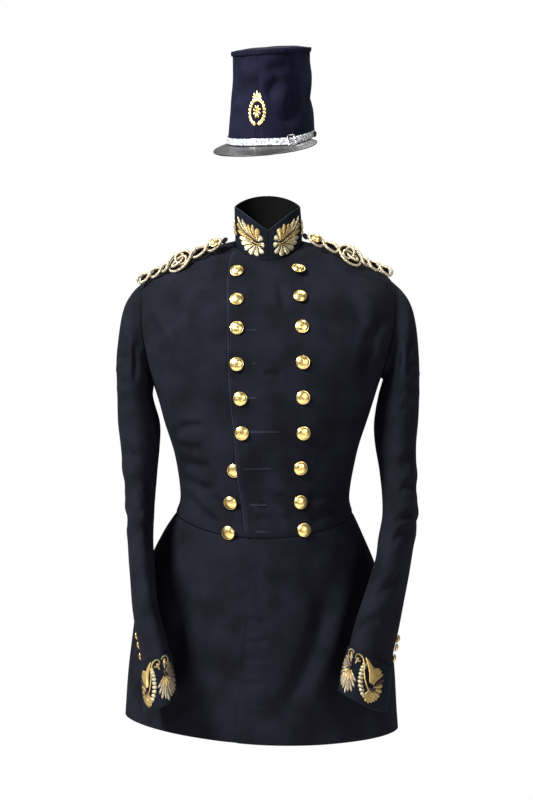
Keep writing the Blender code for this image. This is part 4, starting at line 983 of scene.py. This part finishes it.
for side, label in ((1, "left"), (-1, "right")):
    turns = np.linspace(-60, 230, 117)
    line = sleeveSkin(label, cuffSpray["middleRow"] + 0 * turns, turns, sleeveMake["cuffStand"] + 0 * turns)
    lengths = np.concatenate(([0], np.cumsum(np.linalg.norm(np.diff(line, axis=0), axis=1))))
    fold = np.interp(cuffSpray["foldTurn"], turns, lengths)

    def cuffPlace(u, v, lift, label=label, turns=turns, lengths=lengths, fold=fold):
        turn = np.interp(fold - u, lengths, turns)
        row = cuffSpray["middleRow"] - v / cuffSpray["rowLength"]
        return sleeveSkin(label, row + 0 * turn, turn + 0 * row, sleeveMake["cuffStand"] + lift + 0 * row)

    spray = Stitched(cuffPlace)
    for hub, lobes in (("leafHub", leafLobes), ("palmHub", palmLobes)):
        hub = np.array(cuffSpray[hub])
        for u, v, wide, bow, which in lobes:
            tip = np.array((u, v), float)
            root = hub + (tip - hub) * cuffSpray["rootShare"]
            spray.lobe(root, tip, wide, cuffSpray["rise"], bow * cuffSpray["bow"], which, root=0.3)
    for u, v in leafBeads:
        spray.lobe((u + 6, v + 1), (u - 2, v - 1), 4.9, 2.1, 0, 3, root=0.7, blunt=0.6)
    spray.strand(((46, -12), (36, -14), (28, -10), (22, -2), (18, 8), (16, 18), (12, 26), (6, 29)), 1.1, 1,
                 1.9)
    spray.lobe((24, -6), (44, -6.5), 4.2, 0.9, -3.5, 2, root=0.3, low=1.7)
    for u, v, size, thick in ((6, 24, 5.0, 1.1), (-8, 25, 6.0, 1.2)):
        coil = [(u + size * math.cos(a), v + size * math.sin(a)) for a in np.linspace(0.3, 5.6, 9)]
        spray.strand(coil, thick, 0, 1.2)
    spray.lobe((-6, 14), (-8, 28), 5.0, 1.4, 0, 1)
    spray.lobe((2, 14), (6, 24), 4.4, 1.4, 0, 1)
    spray.lobe((-6, 4), (-4, 12), 4.0, 1.9, 0, 2, root=0.6, low=1.4)
    spray.finish("cuffSpray" + label.title(), [dullPurl, goldPurl, redThread, silverPurl],
                 ("cuff_spray_" + label,))
print("embroidery made")


def frontPlace(x, z, lift):
    x, z, lift = np.broadcast_arrays(*(np.asarray(v, float) for v in (x, z, lift)))
    row, angle = findPlace(body, bodyPoint, x, z, 13.0)
    return skin(bodyPoint, row, angle, overLift(body, row, angle) + lift)


# each buttonhole's start and end across, and its height; half its breadth, and its thread's radius
buttonholeMake = {"half": 0.9, "thread": 0.42, "places": (
    (-35, -19, -144), (-36, -20, -197), (-32, -19, -251), (-30, 16, -304), (-36, 3, -362), (-28, 6, -419),
    (-18, 6, -461))}
holes = Stitched(frontPlace)
for start, end, z in buttonholeMake["places"]:
    for rise in (buttonholeMake["half"], -buttonholeMake["half"]):
        line = ((start, z + rise * 0.3), (start + 2, z + rise), (end - 2, z + rise), (end, z + rise * 0.3))
        holes.strand(line, buttonholeMake["thread"], 0, 0.0)
holes.finish("buttonholes", threadAndEdgeSheen)


def edgePlace(u, v, lift):
    # u: millimetres in from the lap's edge, v: row
    edge = eased(body["lap"], v)
    angle = angleAt(body, v, edge + u)
    return skin(bodyPoint, v + 0 * angle, angle, overLift(body, v, angle) + lift)


edgeLines = {"lap": ((0.3, 0.45), (4.2, 0.16)),
             "collar": 0.4}   # place in from the lap's edge and radius; radius
# the strand at the lap's very edge is painted sheen, a pale line for the light along it; the one 4.2 mm in is
# a stitch line
lapSheenAndStitch = Stitched(edgePlace)
for inward, radius in edgeLines["lap"]:
    lapSheenAndStitch.strand([(inward, v) for v in np.linspace(0.4, 12.9, 40)], radius, 0, -0.1)
lapSheenAndStitch.finish("lapEdgePaintedSheenAndStitch", threadAndEdgeSheen)
for side, label in ((1, "left"), (-1, "right")):

    def rimPlace(u, v, lift, side=side):
        return skin(collarPoint, 3.0 - v / 18, 1.0 + side * u, lift, -1.0)

    # a pale line along the collar's rim: painted sheen
    rimSheen = Stitched(rimPlace)
    rimSheen.strand([(u, 0.1) for u in np.linspace(1, 178, 60)], edgeLines["collar"], 0, -0.2)
    rimSheen.finish("collarEdgePaintedSheen" + label.title(), threadAndEdgeSheen)
print("edges made")


# a chain of loops along each shoulder, in millimetres out from the middle
shoulderCord = {
    "sides": {1: (-10.0, -30.0, 0.433),
              -1: (0.0, -34.0, 0.472)},   # outward shift, place front to back, slope
    "top": 40.6, "tilt": 62.0,   # height at the middle, and how far the chain leans down in front, in degrees
    "loops": ((76, 0), (100, 9.4), (125, 7.6), (163, 17.0), (174, 6.0), (192, 7.4),
              (212, 7.0)),   # end, half breadth
    "radius": 2.4, "lay": 7.0, "strands": 3, "knotRadius": 2.1, "knotAt": 144.0, "buttonAt": 87.5,
    "backingDrop": 5.6, "backingShift": 2.8, "backingShare": 0.95, "backingThickness": 1.2,
}


def cordPoint(side, along, aside, level):
    # a place on the chain: out along the shoulder, aside down its front, and level above it
    shift, ahead, slope = shoulderCord["sides"][side]
    tilt = math.radians(shoulderCord["tilt"])
    lean, fall = unit((1.0, 0.0, -slope)), np.array((0.0, -math.cos(tilt), -math.sin(tilt)))
    up = np.cross(fall, lean)
    up = up if up[2] > 0 else -up
    along, aside, level = np.broadcast_arrays(*(np.asarray(v, float)[..., None] for v in (along, aside,
                                                                                          level)))
    along = along + shift
    middle = np.concatenate((along, 0 * along + ahead, shoulderCord["top"] - slope * along), axis=-1)
    point = middle + fall * aside + up * level
    return point * np.array((side, 1, 1))


def cordPath():
    # one run of cord out along the loops and back, crossing itself between them
    loops, strand = shoulderCord["loops"], []
    for n in range(1, len(loops)):
        start, (end, half) = loops[n - 1][0], loops[n]
        side = 1 if n % 2 else -1
        for f in (np.arange(18) + 0.5) / 18:
            strand.append((start + (end - start) * (f - 0.06 * math.sin(2 * math.pi * f)),
                           side * half * math.sin(math.pi * f) ** 0.8, side * 3.0 * math.cos(math.pi * f)))
    strand = np.array(strand)
    return np.concatenate((strand, strand[::-1] * np.array((1, -1, -1))))


def twistedCord(path, radius, sides=14):
    # a closed cord laid up from strands: its section is lobed, and the lobes turn round it once in each lay
    lay, strands = shoulderCord["lay"], shoulderCord["strands"]
    looped = np.concatenate((path, path[:1]))
    run = np.concatenate(([0], np.cumsum(np.linalg.norm(np.diff(looped, axis=0), axis=1))))
    places = np.linspace(0, run[-1], int(run[-1] / 0.8), endpoint=False)
    line = np.stack([np.interp(places, run, looped[:, k]) for k in range(3)], axis=1)
    for _ in range(4):
        line = (np.roll(line, 1, axis=0) + 2 * line + np.roll(line, -1, axis=0)) / 4
    ahead = unit(np.roll(line, -1, axis=0) - np.roll(line, 1, axis=0))
    guide = unit(np.array((0.1, -0.8, 0.6)))
    first = unit(guide - ahead * (ahead @ guide)[:, None])
    second = np.cross(ahead, first)
    turns = np.linspace(0, 2 * math.pi, sides, endpoint=False)[None]
    spun = 2 * math.pi * round(run[-1] / lay) * (places / run[-1])[:, None]
    size = radius * (0.88 + 0.14 * np.abs(np.cos(strands * turns / 2 - spun / 2)))[..., None]
    section = first[:, None] * np.cos(turns)[..., None] + second[:, None] * np.sin(turns)[..., None]
    points = line[:, None] + size * section
    index = np.arange(len(line) * sides).reshape(-1, sides)
    uv = np.stack(np.broadcast_arrays(places[:, None] + turns * lay / 6.283, turns * radius), axis=-1)
    faces = gridFaces(np.concatenate((index, index[:1])), closed=True)
    return points.reshape(-1, 3), faces, uv.reshape(-1, 2)


for side, label in ((1, "left"), (-1, "right")):
    t = np.linspace(0, 2 * math.pi, 120, endpoint=False)
    knot = (shoulderCord["knotAt"] + 4.4 * (np.sin(t) + 2 * np.sin(2 * t)),
            4.3 * (np.cos(t) - 2 * np.cos(2 * t)), 2.6 - 2.6 * np.sin(3 * t))
    parts = [twistedCord(cordPoint(side, *cordPath().T), shoulderCord["radius"]),
             twistedCord(cordPoint(side, *knot), shoulderCord["knotRadius"])]
    offset = len(parts[0][0])
    addMesh("shoulderCord" + label.title(), np.concatenate([part[0] for part in parts]),
            np.concatenate((parts[0][1], parts[1][1] + offset)), oldCord, ("shoulder_cord_" + label,),
            np.concatenate([part[2] for part in parts]))
    # the dark cloth that the cord is sewn to, with a rounded tab at the neck
    envelope = cordPath()[:len(cordPath()) // 2]

    def backing(along, across, side=side, envelope=envelope):
        reach = np.maximum(3.0, shoulderCord["backingShare"] * np.abs(envelope[:, 1]))
        half = np.interp(along, np.concatenate(((67, 68, 70, 73), envelope[:, 0])),
                         np.concatenate(((1.0, 3.4, 5.2, 6.0), reach)))
        return cordPoint(side, along, across * half - shoulderCord["backingShift"],
                         -shoulderCord["backingDrop"])

    clothSheet("shoulderBacking" + label.title(), backing, edged(np.linspace(67, 209, 120), backing, 0),
               -1.0, 1.0, backingCloth, (), pitch=1.6,
               thick=shoulderCord["backingThickness"], sign=-side, held="stretched")
    foot = cordPoint(side, shoulderCord["buttonAt"], 0, 4.2)
    normal = cordPoint(side, shoulderCord["buttonAt"], 0, 9) - foot
    addButton("shoulderButton" + label.title(), "shoulder", foot, normal, "shoulder_button_" + label)
print("shoulder cords made")

# the shako, in millimetres and degrees; wide and long are half breadths at five even heights from the band up
shako = {
    "place": (6.2, 120.0, 205.0), "yaw": -16.5, "pitch": 15.0, "tall": 139.0, "frontRise": 0.045,
    "wide": (73.4, 70.6, 67.4, 64.9, 65.2), "long": (92.0, 90.0, 88.0, 87.0, 88.0),
    "bandInset": 2.5, "bandTop": 12.0, "bandTall": 23.0, "bandThickness": 1.6,
    "peakReach": 41.0, "peakFall": 0.22, "peakTo": 84.0, "peakThickness": 2.2,
    "strapEnd": 94.0, "strapWide": 11.0, "strapThickness": 1.6, "strapSlack": 6.0, "buckleAngle": 43.0,
}
hatPlace, hatTall = np.array(shako["place"]), shako["tall"]


def hatFrame(x, y, z):
    # the shako leans back over its band, tips up in front and turns aside
    pitch, yaw = math.radians(shako["pitch"]), math.radians(shako["yaw"])
    y = y + z * math.tan(pitch)
    y, z = y * math.cos(pitch) - z * math.sin(pitch), y * math.sin(pitch) + z * math.cos(pitch)
    x, y = x * math.cos(yaw) - y * math.sin(yaw), x * math.sin(yaw) + y * math.cos(yaw)
    return hatPlace + np.stack(np.broadcast_arrays(x, y, z), axis=-1)


def hatPoint(height, angle, out=0.0, level=0.0):
    # height runs from 0 at the band to 1 at the rim; out and level move the point away from the crown and up
    share = np.asarray(height, float) * 4
    s, c = np.sin(np.radians(angle)), np.cos(np.radians(angle))
    wide, long = eased(shako["wide"], share) + out, eased(shako["long"], share) + out
    return hatFrame(wide * s, -long * c, height * hatTall + level + shako["frontRise"] * height * long * c)


def hatSheet(name, form, rows, material, nodes, folds=None, pitch=2.4, thick=cloth["thickness"],
             sign=1.0, closed=True, starts=0.0, ends=360.0, held="stretched"):
    clothSheet(name, form, rows, starts, ends, material, nodes, pitch=pitch, thick=thick, folds=folds,
               sign=sign, closed=closed, held=held)


# millimetres round from the front and up from the band: from, to, bow, width, depth, share of the ridge
hatDents = (
    (-52, 96, 10, 88, -8, 13, 2.0, 0.4), (20, 60, 52, 96, 6, 12, 1.8, 0.5),
    (46, 20, 78, 70, -6, 14, 1.8, 0.5), (-70, 40, -30, 24, 6, 13, 1.4, 0.4),
    (10, 104, 70, 112, 3, 10, 1.2, 0.4), (-20, 66, -66, 74, -6, 12, 1.4, 0.4),
    (130, 30, 200, 90, 10, 15, 2.0, 0.4), (240, 100, 300, 40, -10, 15, 2.0, 0.4),
    (150, 110, 210, 104, 4, 12, 1.4, 0.4),
)


def crownForm(row, angle):
    return hatPoint(1.0 - row, angle)


def crownFold(points, row, angle):
    # dents of handled cloth, and the front seam: a ridge between two stitched grooves
    turn = (((angle + 180) % 360) - 180) * 1.38
    high = (1.0 - row) * hatTall
    grooves = np.exp(-((turn - 2.6) / 1.2) ** 2) + np.exp(-((turn + 2.6) / 1.2) ** 2)
    seam = -1.1 * grooves + 0.6 * np.exp(-(turn / 1.5) ** 2)
    calm = step(row, 0.02, 0.12) * step(1 - row, 0.0, 0.08)
    behind = turn < -60   # there the table counts on past the back
    dents = foldLift(turn, high, hatDents) + foldLift(turn + 500 * behind, high, hatDents) * behind
    return seam + calm * (dents + waver(points, 26, 0.4, 5.0))


hatSheet("shakoCrown", crownForm, edged(np.linspace(0, 1, 54), crownForm, 0), shakoCloth, ("shako_crown",),
         crownFold, pitch=1.8)


def rimForm(row, angle):
    return hatPoint(1.0, angle, 2.7 - 0.9 * (2 * row - 1) ** 2, 2.4 - 8.4 * row)


def topForm(row, angle):
    # a shallow dome inside the rim
    s, c = np.sin(np.radians(angle)), np.cos(np.radians(angle))
    return hatFrame(65.0 * row * s, -87.8 * row * c, hatTall + 2.6 + 5.0 * (1 - row**2) + 3.96 * row * c)


def bandForm(row, angle):
    return hatPoint(0.0, angle, -shako["bandInset"], shako["bandTop"] - shako["bandTall"] * row)


hatSheet("shakoRim", rimForm, edged(np.linspace(0, 1, 8), rimForm, 0), shakoCloth, ("shako_rim",),
         lambda p, r, a: waver(p, 9, 0.35, 6.0) + waver(p, 22, 0.5, 7.0))
hatSheet("shakoTop", topForm, np.linspace(0.985, 0.02, 34), shakoCloth, ("shako_top",),
         lambda p, r, a: waver(p, 24, 0.5, 8.0), sign=-1.0)
hatSheet("shakoHeadband", bandForm, edged(np.linspace(0, 1, 12), bandForm, 0), tanLeather,
         ("shako_headband",), thick=shako["bandThickness"], held=None)


def peakForm(share, angle):
    # from just inside the band's foot out to the peak's edge, falling a little more as it goes
    reach = shako["peakReach"] * np.cos(np.radians(angle * 0.98)) ** 0.65
    out = -1.6 + share * (reach + 1.6)
    return hatPoint(0.0, angle, out, -9.8 - shako["peakFall"] * out * (1 + 0.25 * share))


peakRows = edged(np.linspace(0, 1, 24), peakForm, 0)
hatSheet("shakoPeak", peakForm, peakRows, patentLeather, ("shako_peak",),
         thick=shako["peakThickness"], closed=False, starts=-shako["peakTo"], ends=shako["peakTo"],
         folds=lambda p, r, a: waver(p, 14, 0.15, 9.0), held=None)
strapEnd, strapWide = shako["strapEnd"], shako["strapWide"]


def strapForm(row, angle):
    # round the front between the studs, standing off the band where it is slack by the buckle
    up = strapWide * (0.5 - row)
    slack = np.exp(-((angle - shako["buckleAngle"]) / 26.0) ** 2) * step(strapEnd - np.abs(angle), 0, 20)
    return hatPoint(0.0, angle, 2.2 + shako["strapSlack"] * slack * (1 - up / strapWide),
                    up - 3.2 - 2.2 * slack)


strapRows = edged(np.linspace(0, 1, 9), strapForm, 0)
# the strap's grey and white colour is painted reflection
hatSheet("shakoStrap", strapForm, strapRows, strapPaintedReflection, ("shako_strap",),
         thick=shako["strapThickness"], closed=False, starts=-strapEnd, ends=strapEnd, pitch=1.6, held=None)
for side, label in ((1, "left"), (-1, "right")):
    foot = strapForm(0.5, side * (strapEnd - 4.0))
    outward = unit(foot - hatPlace)
    addButton("shakoStud" + label.title(), "stud", foot + outward * 0.6, outward, "shako_stud_" + label,
              darkMetal)


def strapPlace(u, v, lift):
    # millimetres along the strap from its buckle, and across it
    return skin(strapForm, 0.5 - v / strapWide, shako["buckleAngle"] + u / 1.38, lift + 0 * u)


def crownPlace(u, v, lift):
    # millimetres aside from the front seam, and up from the band
    return skin(crownForm, 1.0 - v / hatTall, u / 1.56, lift + 0 * u)


crownSeam = Stitched(crownPlace)
for u in (-2.4, 2.4):
    crownSeam.strand([(u, v) for v in np.linspace(2, 133, 24)], 0.35, 0, -0.5)
crownSeam.finish("crownSeam", seamThreadAndShadeBlack)
buckle = Stitched(strapPlace)
corners = [(-5.5, -7), (0, -7.4), (5.5, -7), (6.2, 0), (5.5, 7), (0, 7.4), (-5.5, 7), (-6.2, 0), (-5.5, -7)]
buckle.strand(corners, 1.25, 0, 1.1)
buckle.strand([(-6, 0), (-2, 0.2), (3, 0.1), (6.5, 0)], 0.8, 0, 2.0)
buckle.finish("shakoBuckle", paleMetal, ("shako_buckle",))


# a plain badge: a wreath of leaves round a small flower, with five leaves above
badgeMake = {
    "height": 47.0,   # of the flower above the band, in millimetres
    "wreathWide": 16.0, "wreathTall": 19.0, "wreathSteps": 11, "leafLength": 7.2, "petals": 8,
    "leaves": ((0.34, 5.2), (-0.30, 4.6), (0.02, 4.0)),   # each leaf's turn and breadth
    "topLeaves": ((0, 30, 6), (-7, 27, 5.5), (7, 27, 5.5), (-10, 22, 4.5), (10, 22, 4.5)),   # tip and breadth
}
badge = Stitched(lambda u, v, lift: crownPlace(u, badgeMake["height"] + v, lift))
for side in (1, -1):
    for n in range(badgeMake["wreathSteps"]):
        turn = math.radians(-84 + 16.2 * n)
        root = (side * badgeMake["wreathWide"] * math.cos(turn),
                badgeMake["wreathTall"] * math.sin(turn) - 3.0)
        for swing, wide in badgeMake["leaves"]:
            lean = turn + math.pi / 2 - swing
            reach = badgeMake["leafLength"]
            tip = (root[0] + side * reach * math.cos(lean), root[1] + reach * math.sin(lean))
            badge.lobe(root, tip, wide, 1.5, 0, 0, root=0.4, blunt=0.55, low=0.5)
for u, v, wide in badgeMake["topLeaves"]:
    badge.lobe((u * 0.35, 14), (u, v), wide, 1.8, 0, 0, root=0.5, blunt=0.6, low=0.5)
for n in range(badgeMake["petals"]):
    turn = math.radians(360 / badgeMake["petals"] * n + 22)
    c, s = math.cos(turn), math.sin(turn)
    badge.lobe((2 * c, 2 * s - 3), (9 * c, 11 * s - 3), 4.0, 1.6, 0.6, 0, root=0.4, low=0.5)
badge.lobe((-2.5, -3), (2.5, -3), 5.0, 2.6, 0, 0, root=0.9, blunt=0.5, low=0.5)
badge.finish("shakoBadge", giltBrass, ("shako_badge",))
print("shako made")

studio = {
    "floorLevel": -1480.0, "floorAside": 3000.0, "floorAhead": 3000.0, "floorBehind": 520.0,
    "floor": "#f4f4f4",
    # name: place, target, size in metres and watts
    "lights": {"keyLeft": ((-1.9, -1.5, 1.7), (0, 0, -0.1), (0.8, 0.8), 290),
               "fillRight": ((1.6, -2.6, 0.5), (0, 0, -0.2), (1.2, 1.2), 45),
               "topBack": ((0.3, 0.9, 2.0), (0, 0, -0.1), (1.6, 1.0), 60)},
    "paper": 1.0, "glow": 0.2,   # how bright the white behind looks, and how much light it gives
    "lens": 70.9, "sensor": 36.0, "camera": (-0.0025, -2.6, -0.254),
}
aside, low = studio["floorAside"], studio["floorLevel"]
floor = addMesh("studioFloor", [(-aside, -studio["floorAhead"], low), (aside, -studio["floorAhead"], low),
                                (aside, studio["floorBehind"], low), (-aside, studio["floorBehind"], low)],
                [(0, 1, 2, 3)], addMaterial("pale_paper",
                                            {"Base Color": colour(studio["floor"]), "Roughness": 0.9})[0])

for name, (place, target, size, watts) in studio["lights"].items():
    data = bpy.data.lights.new(name, "AREA")
    data.shape, data.size, data.size_y, data.energy = "RECTANGLE", size[0], size[1], watts
    light = bpy.data.objects.new(name, data)
    bpy.context.scene.collection.objects.link(light)
    light.location = place
    light.rotation_euler = (Vector(target) - Vector(place)).to_track_quat("-Z", "Y").to_euler()
world = bpy.data.worlds.new("paleStudio")
bpy.context.scene.world = world
world.use_nodes = True
paper = world.node_tree.nodes["Background"]
paper.inputs["Color"].default_value = colour("#ffffff")
# the paper behind is white in the picture, and gives only a fifth of that as light
seen = addNode(world.node_tree, "ShaderNodeLightPath")
glow = addNode(world.node_tree, "ShaderNodeMath", {1: studio["paper"] - studio["glow"], 2: studio["glow"]},
               {0: seen.outputs["Is Camera Ray"]}, operation="MULTIPLY_ADD")
world.node_tree.links.new(glow.outputs[0], paper.inputs["Strength"])
bpy.context.scene.view_settings.view_transform = "Standard"

cameraData = bpy.data.cameras.new("photoCamera")
cameraData.lens, cameraData.sensor_width, cameraData.clip_end = studio["lens"], studio["sensor"], 50.0
camera = bpy.data.objects.new("photoCamera", cameraData)
bpy.context.scene.collection.objects.link(camera)
camera.location, camera.rotation_euler = studio["camera"], (math.radians(90), 0, 0)
bpy.context.scene.camera = camera
